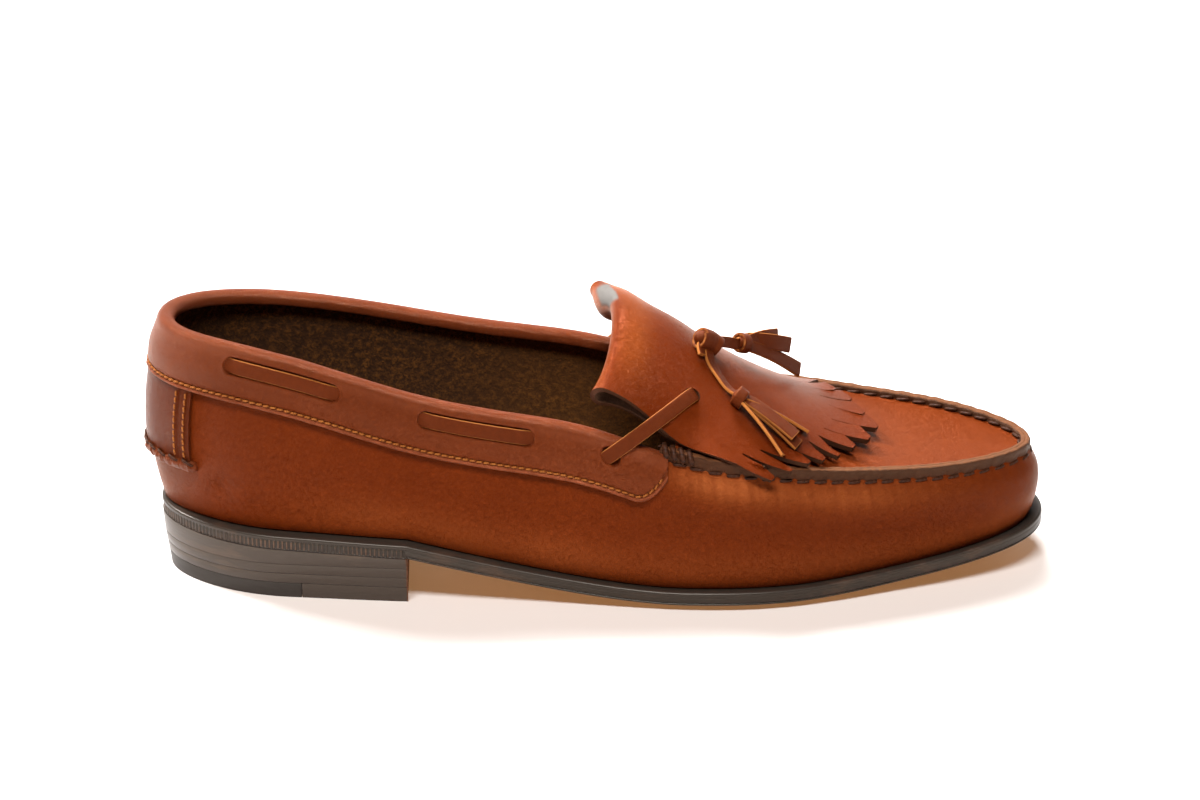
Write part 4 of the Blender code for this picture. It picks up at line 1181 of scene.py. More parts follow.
@dataclass
class Upper:
    """Vamp, quarters and apron in one shell, with the seams that are sewn on it."""

    last: Last
    band_height: float
    stitch_pitch: float = 5.8
    stitch_phase: float = 1.4
    pucker: float = 0.34
    half_columns: int = 300
    across: int = 64
    rim_drop: float = 0.062
    wall_rows: tuple[tuple[float, float, int], ...] = ((0.0, 0.12, 6), (0.16, 0.8, 26), (0.82, 1.0, 24))
    ridge_columns: int = 620
    stitch_columns: int = 1200
    centre: Place = (120.0, 4.0, 45.0)
    ridge_section: tuple[Span, ...] = (
        (1.35, -3.3), (1.75, -2.4), (1.85, -1.4), (1.8, -0.2), (1.82, 0.9), (1.75, 1.6), (1.4, 2.05),
        (0.9, 2.2), (0.35, 2.12), (0.15, 1.98), (-0.05, 2.14), (-0.6, 2.25), (-1.15, 2.05), (-1.5, 1.5),
        (-1.62, 0.6), (-1.75, -0.3), (-2.1, -1.2), (-0.6, -2.4),
    )

    def front_share(self, s: Array, back: float, front: float) -> Array:
        """A smooth step at the start of the apron seam, from a little behind it to a little in front."""
        start = self.last.turn_at(self.last.throat + 3.0)
        return ease(start + back, start + front, np.abs(s))

    def relief(self, s: Array, t: Array, below: Array, run: Array) -> Array:
        """Height of the leather over the plain wall: gathers and a trough under the seam, roll and dimple.

        Args:
            s: Shares round the shoe.
            t: Shares up the wall.
            below: Distance below the top edge.
            run: Length along the top edge.

        Returns:
            Millimetres outward.
        """
        fold = 1 - np.abs(np.cos(np.pi * run / self.stitch_pitch)) ** 0.8
        uneven = 0.75 + 0.35 * ripple(run, 19.0, 5)
        fading = np.exp(-((below / 6.5) ** 1.4))
        gather = self.pucker * (fold - 0.35) * uneven * fading * ease(0.0, 2.2, below)
        streak = 0.07 * ripple(run + 0.2 * below, 2.3, 6) * bell(below, 0.0, 9.0) * ease(0.0, 2.0, below)
        trough = -0.5 * bell(below, 4.5, 2.6)
        point = self.last.wall(s, t)
        x, z = point[..., 0], point[..., 2]
        pulled = 0.2 * ripple(run + 0.5 * below, 3.4, 7) * bell(below, 8.0, 5.0) * bell(x, 186.0, 17.0)
        hollow = -1.1 * bell(x, 21.5, 4.2) * bell(z, 37.5, 5.0)
        swelling = 0.5 * bell(x, 26.0, 4.5) * bell(z, 34.5, 4.5)
        crease = 0.16 * np.sin((x * 0.8 + z) * 1.25) * bell(x, 23.0, 5.0) * bell(z, 38.0, 4.5)
        roll = 1.7 * bell(below, 12.5, 7.0) * ease(150.0, 176.0, x) * ease(284.0, 240.0, x)
        front = self.front_share(s, -0.012, 0.012)
        return front * (gather + streak + trough) + roll + pulled + (hollow + swelling) + crease

    def shell(self) -> Draft:
        """The wall round the shoe and the apron, joined along the top edge."""
        last = self.last
        turn = last.even_turns(0.0, 1.0, self.half_columns + 1, 0.9)
        s = np.concatenate([-turn[::-1], turn[1:-1]])
        rows = np.concatenate([np.linspace(*part) for part in self.wall_rows])
        t = rows[:, None] * (1 - self.rim_drop * self.front_share(s, 0.004, -0.012))
        s_grid = np.broadcast_to(s, t.shape)
        top, point = last.wall(s, 1.0), last.wall(s_grid, t)
        below = np.linalg.norm(top[None] - point, axis=-1)
        run = self.run_along(s)
        lift = self.relief(s_grid, t, below, np.broadcast_to(run, t.shape))
        lift[-1] = 0.0
        point = point + last.wall_normal(s_grid, t) * lift[..., None]
        x, under_band = point[..., 0], point[..., 2] - top[:, 2] + self.band_height
        # Painted shade: darker at the foot of the wall, just under the apron seam, under the band's lower
        # edge and in a band across the middle of the wall.
        shade = 0.55 * bell(t, 0.0, 0.035)
        shade += 0.35 * bell(below, 0.0, 2.6) * self.front_share(s, -0.01, 0.01)
        shade += 0.5 * bell(under_band, -0.9, 1.1) * ease(160.0, 152.0, x)
        shade += 0.2 * bell(t, 0.5, 0.2) * ease(60.0, 120.0, x)
        # Painted light: a highlight band under the apron seam, and a paler lower wall that stands in for the
        # floor's reflection.
        bright = bell(x, 186.0, 20.0) + 0.6 * bell(x, 226.0, 32.0)
        lit = bell(below, 7.0, 4.4) * bright * (0.8 + 0.3 * ripple(run, 4.0, 14))
        lit += 0.3 * bell(t, 0.14, 0.14) * ease(20.0, 90.0, x)
        draft = Draft().add(point, quads(*point.shape[:2], wrap_columns=True), shade=shade, lit=lit)
        side = turn[turn >= last.turn_at(last.throat + 3.0)]
        apron = last.apron(*np.meshgrid(side, np.linspace(-1, 1, self.across + 1), indexing="ij"))
        inside = np.linalg.norm(apron[..., None, :] - apron[:, None, [0, -1]], axis=-1).min(-1)
        # The apron gets painted shade along its seams and a little painted light all over.
        return draft.add(apron, quads(*apron.shape[:2]), shade=0.4 * bell(inside, 0.0, 2.2), lit=0.12)

    def run_along(self, s: Array) -> Array:
        """Length along the top edge from the toe, signed by side, at shares s round the shoe."""
        dense = np.linspace(0, 1, 3001)
        values = []
        for side in Side:
            length = run_length(self.last.wall(side.value * dense, 1.0))
            values.append(np.interp(np.abs(s), dense, length[-1] - length))
        return np.where(np.asarray(s) <= 0, -values[0], values[1])

    def seam_line(self, count: int) -> tuple[Array, Array, Array, Array]:
        """The apron seam's line round the toe, from the outer to the inner end of the throat.

        Args:
            count: Number of points.

        Returns:
            Points of the top edge, and its forward, outward and upward directions.
        """
        turn = np.linspace(self.last.turn_at(self.last.throat - 1.5), 1, 2001)
        line = self.last.wall(np.concatenate([-turn, turn[::-1][1:]]), 1.0)
        at = np.linspace(0, run_length(line)[-1], count)
        tangent = heading(line, at, 1.0)
        out = unit(np.stack([tangent[:, 1], -tangent[:, 0], np.zeros(count)], -1))
        return read_path(line, at), tangent, out, upright(unit(np.cross(out, tangent)))

    def ridge(self) -> Draft:
        """The raised seam: a standing double edge, pinched by every stitch, carried along the top edge."""
        point, _, out, up = self.seam_line(self.ridge_columns)
        run = run_length(point)[:, None]
        wide, tall = np.array(self.ridge_section).T
        pinch = np.abs(np.cos(np.pi * (run + self.stitch_phase) / self.stitch_pitch)) ** 6
        low_out, low_in = bell(tall, -1.6, 1.3) * (wide > 1), bell(tall, 0.2, 1.0) * (wide < -1)
        ends = ease(0, 5, run) * ease(0, 5, run[-1] - run)
        swell = 1 + 0.07 * ripple(run, 9.0, 11)
        width = (wide * swell + (-0.5 * pinch * low_out + 0.35 * pinch * low_in)) * (0.75 + 0.25 * ends)
        wave = 0.12 * ripple(run, 6.0, 12) - 0.14 * pinch
        height = (tall + wave * (tall > 1.2)) * (0.7 + 0.3 * ends)
        raw = np.where((tall > 1.9) & (np.abs(wide) < 1.5), 0.62, 0.0)
        return Draft().tube(carried(point, (out, width), (up, height)), edge=raw, shade=0.6 * (tall < -1.9))

    def ridge_stitches(self) -> Draft:
        """Hand stitches along both feet of the ridge, and a few thick ones across both of its ends."""
        point, tangent, out, up = self.seam_line(self.stitch_columns)
        run = run_length(point)
        at = (np.arange(int(run[-1] // self.stitch_pitch)) + 0.5) * self.stitch_pitch - self.stitch_phase
        pick = nearest(run, at)
        p, d, o, u = point[pick], tangent[pick], out[pick], up[pick]
        draft = Draft()
        draft.stitches(p + o * 1.62 - u * 2.15, unit(d + 0.16 * u), unit(o + 0.2 * u), 5.0, 0.52, 0.42)
        draft.stitches(p - o * 1.72 + u * 0.35, unit(d - 0.16 * u), unit(0.5 * u - o), 5.0, 0.55, 0.45)
        ends = np.arange(1.6, 12.0, 2.7)
        pick = nearest(run, np.concatenate([ends, run[-1] - ends]))
        p, d, o, u = point[pick], tangent[pick], out[pick], up[pick]
        slant = unit(0.55 * d + 0.8 * o - 0.7 * u)
        return draft.stitches(p + o * 0.9 + u * 0.9, slant, unit(u + o), 5.6, 1.05, 0.75)

    def build(self, shop: Workshop) -> None:
        """Makes the shell, the apron's ridge and its stitches."""
        shop.piece("upper_shell", self.shell(), ["upper", "lining", "lining"], "upper_leather", ["upper"],
                   sharp=70, shell=self.last.wall_thick, centre=self.centre)
        shop.piece("apron_ridge", self.ridge(), ["ridge"], "seam_leather", ["apron_seam"], sharp=75)
        shop.piece("apron_stitches", self.ridge_stitches(), ["waxed"], "seam_leather", sharp=80)


@dataclass
class Collar:
    """Collar band rolled over the top edge, with lace slits, and the heel patch with its seam."""

    last: Last
    height: float = 18.5
    front: float = 167.0
    corner: float = 11.0
    corner_rise: float = 10.2
    stand: float = 1.9
    inside: float = 2.2
    roll: float = 2.9
    patch_front: float = 18.0
    patch_low: float = 46.5
    patch_rows: Span = (1.7, 4.6)
    seam_low: float = 42.5
    lace_drop: float = 6.8
    lace_width: float = 4.8
    bars: tuple[Span, ...] = ((27.0, 62.0), (88.0, 124.0))
    strap_start: float = 148.6
    strap_drop: float = 6.6
    pitch: float = 2.3
    stitch_inset: float = 1.9
    band_columns: int = 1080
    patch_columns: int = 161
    patch_stand: float = 1.4
    seam_columns: int = 261
    seam_deep: float = 2.1
    seam_tall: float = 2.35
    hem: tuple[Span, ...] = ((-3.2, -0.15), (-3.15, -0.4), (-2.9, -0.65), (-2.4, -0.8))
    lining: tuple[Span, ...] = ((-1.3, -1.9), (-1.3, 0.5), (-0.6, 1.2), (0.6, 1.2), (1.3, 0.4))

    def low_edge(self, s: Array) -> Array:
        """Height of the band's lower edge: level under the top edge, a parabola at its front ends."""
        top = self.last.controls(s)[3]
        corner = np.clip(1 - (self.front - top[..., 0]) / self.corner, 0, 1)
        return top[..., 2] - self.height + self.corner_rise * corner**2

    def run_round(self, s: Array | float) -> Array:
        """Length round the top edge from the back, signed by side."""
        dense = np.linspace(-0.75, 0.75, 6001)
        length = run_length(self.last.wall(dense, 0.93))
        return np.interp(s, dense, length - length[len(dense) // 2])

    def run_at(self, side: Side, x: float) -> float:
        """Length round the top edge at a place along one side of the shoe."""
        return float(self.run_round(side.value * self.last.turn_at(x)))

    def place(self, s: Array, height: Array, stand: float = 0.0) -> tuple[Array, Array]:
        """Points over the wall at a height, with the wall's normals."""
        t = self.last.share_at(s, height)
        normal = self.last.wall_normal(s, t)
        return self.last.wall(s, t) + normal * stand, normal

    def slits(self, run: Array, drop: Array) -> Array:
        """Relief of the lace slits: round-ended troughs with soft lips, deeper at the ends of a lace bar.

        Args:
            run: Lengths round the band.
            drop: Distances below the top edge.

        Returns:
            Millimetres outward.
        """

        def outside(low: float, high: float, line: float, margin: float) -> Array:
            """Distance from the rim of a slit, less than 0 within it."""
            return np.hypot(run - np.clip(run, low, high), drop - line) - (self.lace_width / 2 + margin)

        relief = np.zeros(drop.shape)
        for side in Side:
            for ends in self.bars:
                low, high = sorted(self.run_at(side, x) for x in ends)
                away = outside(low + 2.2, high - 2.2, self.lace_drop, 0.2)
                deep = 0.8 + 0.8 * (bell(run, low, 3.0) + bell(run, high, 3.0))
                relief += 0.16 * bell(away, 0.5, 0.6) - deep * ease(0.3, -0.22, away)
            start = self.run_at(side, self.strap_start)
            low, high = sorted((start, start + side.value))
            away = outside(low, high, self.strap_drop, 0.15)
            relief += 0.14 * bell(away, 0.5, 0.6) - 1.3 * ease(0.3, -0.22, away)
        return relief

    def band(self) -> Draft:
        """The band: a U-shaped section over the top edge, carried round the back from throat to throat."""
        last, half_wall = self.last, self.last.wall_thick / 2
        end = last.turn_at(self.front)
        s = last.even_turns(-end, end, self.band_columns, 0.95)
        run = self.run_round(s)[:, None]
        low, top = self.low_edge(s)[:, None], last.controls(s)[3]
        out = last.wall_normal(s, 0.97)
        up = unit(last.wall(s, 1.0) - last.wall(s, 0.94))
        centre = top - up * self.roll - out * half_wall

        f = np.concatenate([[0.0], np.linspace(0.012, 1.0, 49)])
        height = low + (top[:, 2:] - self.roll - low) * f
        base, normal = self.place(s[:, None], height)
        edge = (height - low) / np.sqrt(1 + np.gradient(low[:, 0], run[:, 0])[:, None] ** 2)
        drop = top[:, 2:] - height
        swell = 0.6 * np.sin(np.pi * f) ** 2 + 0.12 * ripple(run, 17.0, 24) * np.sin(np.pi * f)
        pull = 0.16 * (0.5 + 0.5 * np.cos(TURN * run / self.pitch))
        groove = -0.5 * bell(edge, self.stitch_inset, 0.5) - pull * bell(edge, self.stitch_inset, 0.7)
        puff = (0.35 + 0.2 * ripple(run, 9.0, 21)) * bell(edge, 0.55, 0.8)
        slits = self.slits(run, drop)
        stand = self.stand + swell + groove + puff + slits
        stand = np.where(edge < 0.6, stand - 0.7 * (1 - edge / 0.6) ** 2, stand)
        stand = stand + (self.stand - stand) * ease(0.9, 1.0, f)
        outer = base + normal * stand[..., None]

        turn = np.linspace(0, np.pi, 15)[1:]
        wide = half_wall + np.where(turn < np.pi / 2, self.stand, self.inside)
        bead = self.roll * (1 + 0.02 * ripple(run, 30.0, 22))
        over = carried(centre, (out, np.cos(turn) * wide), (up, np.sin(turn) * bead))
        hem_out, hem_up = np.array(self.hem).T
        hem = carried(centre, (out, hem_out), (up, hem_up - 0.12 * ripple(run, 8.0, 23)))
        lining_out, lining_up = np.array(self.lining).T
        lining = carried(centre, (out, lining_out), (up, lining_up))
        back = (base + normal * 0.3)[:, [42, 26, 13, 4, 0]]
        grid = np.concatenate([outer, over, hem, lining, back], 1)

        columns, rolled = grid.shape[1], len(f) + len(turn)
        raw = padded(0.4 * (edge < 0.2), columns)
        raw[:, rolled + 2 : rolled + len(self.hem)] = 0.6
        # Painted shade inside the lace slits and along the stitch groove.
        slit_shade = 0.7 * np.clip(-(slits + 0.35) / 0.8, 0, 1)
        shade = padded(slit_shade + 0.4 * bell(edge, self.stitch_inset, 0.4), columns)
        # Painted highlights on the lower lip, on the bulge under the top edge and on the rolled bead.
        lip = (0.5 + 0.16 * ripple(run, 6.0, 25)) * bell(edge, 0.75, 0.5)
        lit = padded(lip + 0.14 * bell(drop, 3.6, 1.6), columns)
        lit[:, len(f) : rolled + 3] = 0.1
        return Draft().tube(grid, edge=raw, shade=shade, lit=lit)

    def sew(self, draft: Draft, s: Array, height: Array, stand: float, pitch: float, radius: float) -> None:
        """Adds stitches at a pitch along a line on the wall.

        Args:
            draft: Takes the stitches.
            s: Shares round the shoe along the line.
            height: Heights along the line.
            stand: Height of the sewn surface over the wall.
            pitch: Length from stitch to stitch.
            radius: Radius of the thread.
        """
        line, normal = self.place(s, height, stand)
        length = run_length(line)
        at = np.arange(pitch / 2, length[-1] - pitch / 2, pitch)
        along = heading(line, at, 0.4)
        out = unit(np.stack([np.interp(at, length, normal[:, i]) for i in range(3)], -1))
        slant = unit(along + 0.12 * np.cross(out, along))
        draft.stitches(read_path(line, at), slant, out, pitch * 0.86, radius, radius * 0.7)

    def stitching(self) -> Draft:
        """Stitch line along the band's lower edge and two rows along each side of the heel patch."""
        draft = Draft()
        end = self.last.turn_at(self.front)
        s = self.last.even_turns(-end, end, 3001, 0.9)
        run = self.run_round(s)
        edge = np.stack([run, self.low_edge(s)], -1)
        tangent = unit(np.gradient(edge, axis=0))
        line = edge + np.stack([-tangent[:, 1], tangent[:, 0]], -1) * self.stitch_inset
        line = line[(line[:, 0] > run[0] + 1.6) & (line[:, 0] < run[-1] - 1.6)]
        along, height = line[np.argsort(line[:, 0])].T
        self.sew(draft, np.interp(along, run, s), height, self.stand - 0.22, self.pitch, 0.38)
        for side in Side:
            for inset in self.patch_rows:
                column = np.full(240, side.value * self.last.turn_at(self.patch_front - inset))
                top = float(self.low_edge(column)[0]) - 0.8
                self.sew(draft, column, np.linspace(self.patch_low + 1.2, top, 240), 1.3, 2.4, 0.33)
        return draft

    def patch(self) -> Draft:
        """Heel patch: a panel round the back between the band and the heel seam, thin at its sides."""
        end = self.last.turn_at(self.patch_front)
        s = self.last.even_turns(-end, end, self.patch_columns, 0.7)
        run = self.run_round(s)
        low, high = self.patch_low - 1.2, self.low_edge(s)[:, None] + 1.5
        height = low + (high - low) * np.linspace(0, 1, 34)
        base, normal = self.place(s[:, None], height)
        edge = (run[-1] - np.abs(run))[:, None]
        stand = self.patch_stand - 0.55 * np.clip(1 - edge / 0.5, 0, 1) ** 2
        groove = -0.14 * sum(bell(edge, row, 0.45) for row in self.patch_rows)
        pull = -0.18 * np.abs(np.cos(np.pi * run / 4.0))[:, None] * bell(height, self.patch_low, 3.0)
        outer = base + normal * ((stand + groove) + pull)[..., None]
        inner = (base + normal * 0.25)[:, [33, 25, 17, 8, 0]]
        grid = np.concatenate([outer, inner], 1)
        raw = padded(np.broadcast_to(0.6 * (edge < 0.3), height.shape), grid.shape[1])
        # Painted shade along the stitch rows and along the patch's lower edge over the seam.
        sewn = 0.3 * sum(bell(edge, row, 0.4) for row in self.patch_rows)
        shade = padded(sewn + 0.45 * bell(height, self.patch_low - 0.4, 1.4), grid.shape[1])
        return Draft().tube(grid, edge=raw, shade=shade)

    def heel_seam(self) -> tuple[Draft, Draft]:
        """Gathered seam under the heel patch and its hand stitches.

        Returns:
            The seam, a lumpy half-round ridge carried round the back, and the stitches.
        """
        end = self.last.turn_at(self.patch_front + 1.5)
        s = self.last.even_turns(-end, end, self.seam_columns, 0.5)
        run = self.run_round(s)
        middle = (self.seam_low + self.patch_low) / 2 + 0.25 + 0.25 * ripple(run, 13.0, 31)
        point, normal = self.place(s, middle, 0.2)
        along = np.gradient(point, axis=0)
        up = upright(unit(np.cross(along, normal)))
        fade = ease(0, 3.0, run[-1] - np.abs(run))
        lump = 1 + 0.16 * ripple(run, 4.4, 32) + 0.1 * ripple(run, 1.9, 33)
        turn = circle(22)
        wave = 1 + 0.05 * np.sin(5 * turn + 2.0 * ripple(run, 5.0, 34)[:, None])
        deep = (self.seam_deep * lump * (0.45 + 0.55 * fade))[:, None] * wave
        tall = (self.seam_tall * (0.6 + 0.4 * fade))[:, None] * wave
        grid = carried(point, (normal, np.cos(turn) * deep), (up, np.sin(turn) * tall))
        rubbed = 0.35 * (np.abs(np.sin(turn)) < 0.4)
        seam = Draft().tube(grid, edge=rubbed, shade=0.9 * np.clip(np.sin(turn) - 0.55, 0, 1))
        pick = nearest(run, np.arange(run[0] + 2.5, run[-1] - 2.0, 5.2))
        p, n, u = point[pick], normal[pick], up[pick]
        slant = unit(unit(along)[pick] + 0.3 * u)
        return seam, Draft().stitches(p + n * 1.35 + u * 1.75, slant, unit(n + 0.5 * u), 5.0, 0.5, 0.3)

    def build(self, shop: Workshop) -> None:
        """Makes the band, its stitching, the heel patch and the heel seam."""
        shop.piece("collar_roll", self.band(), ["band"], "band_leather", ["collar_band"], sharp=65)
        shop.piece("collar_stitches", self.stitching(), ["thread"], "band_leather", sharp=80)
        shop.piece("heel_panel", self.patch(), ["patch"], "band_leather", ["heel_patch"], sharp=65)
        seam, thread = self.heel_seam()
        shop.piece("heel_ridge", seam, ["band"], "seam_leather", ["heel_seam"], sharp=80)
        shop.piece("heel_stitches", thread, ["waxed"], "seam_leather", sharp=80)


@dataclass
class Flap:
    """Folded flap: under leaf, open roll and upper leaf with a cut fringe, in one sheet."""

    last: Last
    thick: float = 1.7
    fold: float = 153.0
    flare: float = 5.5
    under_front: float = 170.0
    leaf_step: float = 2.3
    closed: float = 167.0
    point: float = -0.4
    blunt_cut: float = 1.2
    long_cut: float = 3.4
    slit: float = 0.004
    near_strips: int = 4
    hole_x: float = 175.0
    hole_share: float = 0.662
    hole_radius: float = 2.9
    per_strip: int = 12
    under_rows: int = 16
    roll_rows: int = 18
    leaf_rows: int = 76
    strip_rows: int = 16
    centre: Place = (196.0, 0.0, 20.0)
    roots: tuple[Span, ...] = (
        (-1.0, 189.0), (-0.925, 191.0), (-0.86, 197.0), (-0.76, 206.0), (-0.63, 213.5),
        (-0.51, 217.0), (-0.37, 219.2), (-0.16, 222.3), (0.145, 222.3), (0.33, 219.7),
        (0.52, 218.2), (0.715, 216.7), (1.0, 212.0),
    )
    tips: tuple[Span, ...] = (
        (-1.04, 201.5), (-0.98, 207.5), (-0.88, 213.5), (-0.80, 218.7), (-0.73, 223.9), (-0.55, 229.4),
        (-0.36, 235.0), (-0.06, 238.6), (0.18, 234.6), (0.49, 231.1), (0.69, 226.3), (1.0, 221.0),
    )
    rows: Table = Table(
        ("x", "outer", "inner", "outer_z", "inner_z", "crown"),
        (
            (144, 32.5, 34.5, 76.0, 84.5, 1.4), (152, 33.0, 34.5, 72.3, 81.2, 11.9),
            (161, 34.0, 34.2, 65.3, 71.9, 17.9), (170, 36.0, 35.5, 57.6, 61.2, 22.9),
            (183, 38.2, 37.2, 54.2, 54.8, 18.0), (203, 40.0, 34.6, 48.8, 49.4, 11.1),
            (223, 37.0, 33.0, 45.2, 46.0, 4.7), (245, 31.0, 31.5, 43.3, 43.6, 1.3),
        ),
    )

    def surface(self, x: Array, v: Array) -> Array:
        """Middle of the upper leaf: straight lines across at every x, raised by a parabola."""
        x, v = np.broadcast_arrays(np.asarray(x, float), np.asarray(v, float))
        read = self.rows.read
        y = np.where(v < 0, v * read("outer", x), v * read("inner", x))
        rims = read("outer_z", x) * (1 - v) / 2 + read("inner_z", x) * (1 + v) / 2
        return np.stack([x, y, rims + read("crown", x) * (1 - v**2)], -1)

    def normal(self, x: Array, v: Array) -> Array:
        """Upward normals of the upper leaf, by differences."""
        step, share = 0.5, 0.01
        along = self.surface(x + step, v) - self.surface(x - step, v)
        across = self.surface(x, np.minimum(v + share, 1)) - self.surface(x, np.maximum(v - share, -1))
        return unit(np.cross(along, across))

    def place(self, x: float, share: float, above: float) -> tuple[Array, Array]:
        """A point over the upper leaf's top face, with the normal there."""
        normal = self.normal(np.array([x]), np.array([share]))[0]
        return self.surface(np.array([x]), np.array([share]))[0] + normal * (self.thick / 2 + above), normal

    def roll(self, v: Array) -> Array:
        """Radius of the open roll along the fold: wider at the near end and where the far ear hangs."""
        return 2.7 + 0.9 * ease(-0.3, -1.0, v) + 2.2 * bell(v, 0.62, 0.24) - 0.5 * ease(0.8, 1.0, v)

    def drape(self, x: Array, v: Array) -> Array:
        """How far the near edge lies over the ridge, in shares across: a hump along the edge."""
        return 0.05 * bell(x, 192.0, 11.0) * np.clip(-v, 0, 1.05) ** 6

    def columns(self) -> tuple[Array, Array, Array]:
        """Columns, a few for every strip: share across at its root, share across and x at its tip."""
        roots, tips = np.array(self.roots), np.array(self.tips)
        c = np.linspace(-1, 1, self.per_strip)
        wide = np.diff(roots[:, :1], axis=0)
        between = np.concatenate([tips[:1, 0] - 0.05, (tips[1:, 0] + tips[:-1, 0]) / 2, tips[-1:, 0] + 0.1])
        near = np.arange(len(tips)) < self.near_strips
        spread = np.where(near, 1.1 * wide[:, 0], 1.08 * np.diff(between))[:, None]
        v = roots[:-1, :1] + self.slit + (wide - 2 * self.slit) * (c + 1) / 2
        tip_v = tips[:, :1] + spread * (c - self.point) / 2
        blunt = self.blunt_cut * (self.point - c) / (1 + self.point)
        long_ = self.long_cut * np.clip((c - self.point) / (1 - self.point), 0, 1)
        tip_x = tips[:, 1:] - np.where(c < self.point, blunt, long_)
        return v.ravel(), tip_v.ravel(), tip_x.ravel()

    def punch(self, grid: Array, faces: Array, first_row: int) -> Array:
        """Opens both holes: draws the points round them on to circles.

        Args:
            grid: The sheet's points, which are moved.
            faces: Corner numbers of its faces.
            first_row: The row that the upper leaf starts at.

        Returns:
            A mask of the faces that fall out.
        """
        flat, hole = grid.reshape(-1, 3), np.zeros(len(faces), bool)
        leaf = faces[:, 0] // grid.shape[1] >= first_row
        for side in Side:
            middle, up = self.place(self.hole_x, side.value * self.hole_share, -self.thick / 2)
            away = flat - middle
            away -= up * (away @ up)[:, None]
            radius = np.linalg.norm(away, axis=1)
            hole |= (radius[faces].mean(1) < self.hole_radius) & leaf
            rim = np.intersect1d(faces[hole], faces[~hole])
            rim = rim[radius[rim] < 2 * self.hole_radius]
            flat[rim] += away[rim] * (self.hole_radius / radius[rim] - 1)[:, None]
        return hole

    def sheet(self) -> Draft:
        """The sheet's middle surface, with the slits and both holes left open.

        The under leaf is the upper leaf's surface, lowered along its normals. A half circle round the fold
        joins them, and the strips fan out to their tips and curl up by a square law.
        """
        v, tip_v, tip_x = self.columns()
        roll = self.roll(v)[:, None]
        fold = self.fold - self.flare * v**2
        root = np.interp(v, *np.array(self.roots).T)

        turn = np.array([self.last.turn_at(self.under_front)])
        throat = self.last.apron(turn, np.array([0.0]))[0, 0] - 0.6
        x = throat + (fold - throat) * np.linspace(0, 1, self.under_rows)[:, None]
        near = ease(0, 1, np.clip((self.closed - x) / (self.closed - fold), 0, 1))[..., None]
        depth = self.leaf_step + (2 * roll - self.leaf_step) * near
        under = self.surface(x, v) - self.normal(x, v) * depth

        angle = np.linspace(np.pi, 0, self.roll_rows + 2)[1:-1, None]
        normal = self.normal(fold, v)
        back = unit(self.surface(fold - 0.5, v) - self.surface(fold + 0.5, v))
        round_ = np.cos(angle)[..., None] * normal + np.sin(angle)[..., None] * back
        rolled = self.surface(fold, v) - normal * roll + roll * round_
        ear, rim = ease(0.14, 0.24, v) * ease(0.9, 0.76, v), 0.8 + 0.17 * ease(0.7, 0.45, v)
        rolled_pale = ear * np.clip((rim + 0.08 - np.sin(angle)) / 0.08, 0, 1) * (angle < np.pi / 2)

        x = fold + (root - fold) * np.linspace(0, 1, self.leaf_rows)[:, None]
        leaf = self.surface(x, v - self.drape(x, v))
        # Painted highlights on the leaf next to the roll on its near side, and on the far side of its rear
        # part.
        leaf_lit = 0.5 * bell(x, fold + 5.0, 5.0) * ease(-1.0, -0.4, v)
        leaf_lit += 0.34 * bell(v, 0.7, 0.35) * ease(196.0, 165.0, x)
        leaf_pale = ear * ease(150.9, 149.9, x)

        f = np.linspace(0, 1, self.strip_rows + 1)[1:, None]
        x, share = root + (tip_x - root) * f, v + (tip_v - v) * f
        share = share - self.drape(x, v)
        curl = np.repeat(np.random.default_rng(4).uniform(0.1, 0.7, len(self.tips)), self.per_strip)
        strips = self.surface(x, share) + self.normal(x, share) * (curl * f**2)[..., None]

        grid = np.concatenate([under, rolled, leaf, strips])
        first = len(under) + len(rolled)
        solid = first + len(leaf)
        pale, lit = np.zeros(grid.shape[:2]), np.zeros(grid.shape[:2])
        pale[len(under) : first], pale[first:solid] = rolled_pale, leaf_pale
        # Painted highlight along the crest of the roll.
        lit[len(under) : first], lit[first:solid] = 0.5 * np.sin(angle) ** 2, leaf_lit
        faces = quads(*grid.shape[:2])
        column, row = faces[:, 0] % len(v), faces[:, 0] // len(v)
        gaps = (column % self.per_strip == self.per_strip - 1) & (row >= solid - 1)
        open_ = gaps | self.punch(grid, faces, first)
        return Draft().add(grid, faces[~open_], pale=pale, lit=lit)

    def build(self, shop: Workshop) -> None:
        """Makes the flap."""
        shop.piece("fringed_flap", self.sheet(), ["flap", "under", "cut"], "upper_leather", ["flap"],
                   sharp=55, shell=self.thick, centre=self.centre, outward=0.0)


@dataclass(frozen=True)
class Tassel:
    """Places of a lace end on the flap, as (x, share across, height above), and rolls in turns."""

    cord: tuple[Place, ...]
    wrap: Place
    tips: tuple[Place, ...]
    rolls: tuple[float, ...]
    cord_roll: float


@dataclass(frozen=True)
class Winding:
    """Sizes of a strap wound round an axis, with the angle that it starts at in turns."""

    radius: float
    width: float
    turns: float
    pitch: float
    start: float


OUTER_TASSEL = Tassel(
    cord=((180.6, -0.225, 1.35), (184.0, -0.37, 1.1), (187.2, -0.463, 1.5)),
    wrap=(189.5, -0.53, 3.0),
    tips=((207.3, -0.715, 3.6), (212.1, -0.553, 1.4), (209.2, -0.747, 1.2), (203.9, -0.89, 1.2)),
    rolls=(0.0, 0.12, 0.0, 0.11),
    cord_roll=0.055,
)
INNER_TASSEL = Tassel(
    cord=((182.4, -0.012, 4.5), (185.4, 0.065, 5.0), (188.3, 0.135, 5.35)),
    wrap=(190.1, 0.209, 5.8),
    tips=((205.6, 0.527, 10.5), (200.7, 0.51, 11.5), (212.1, 0.614, 3.6)),
    rolls=(-0.18, -0.16, -0.14),
    cord_roll=-0.17,
)


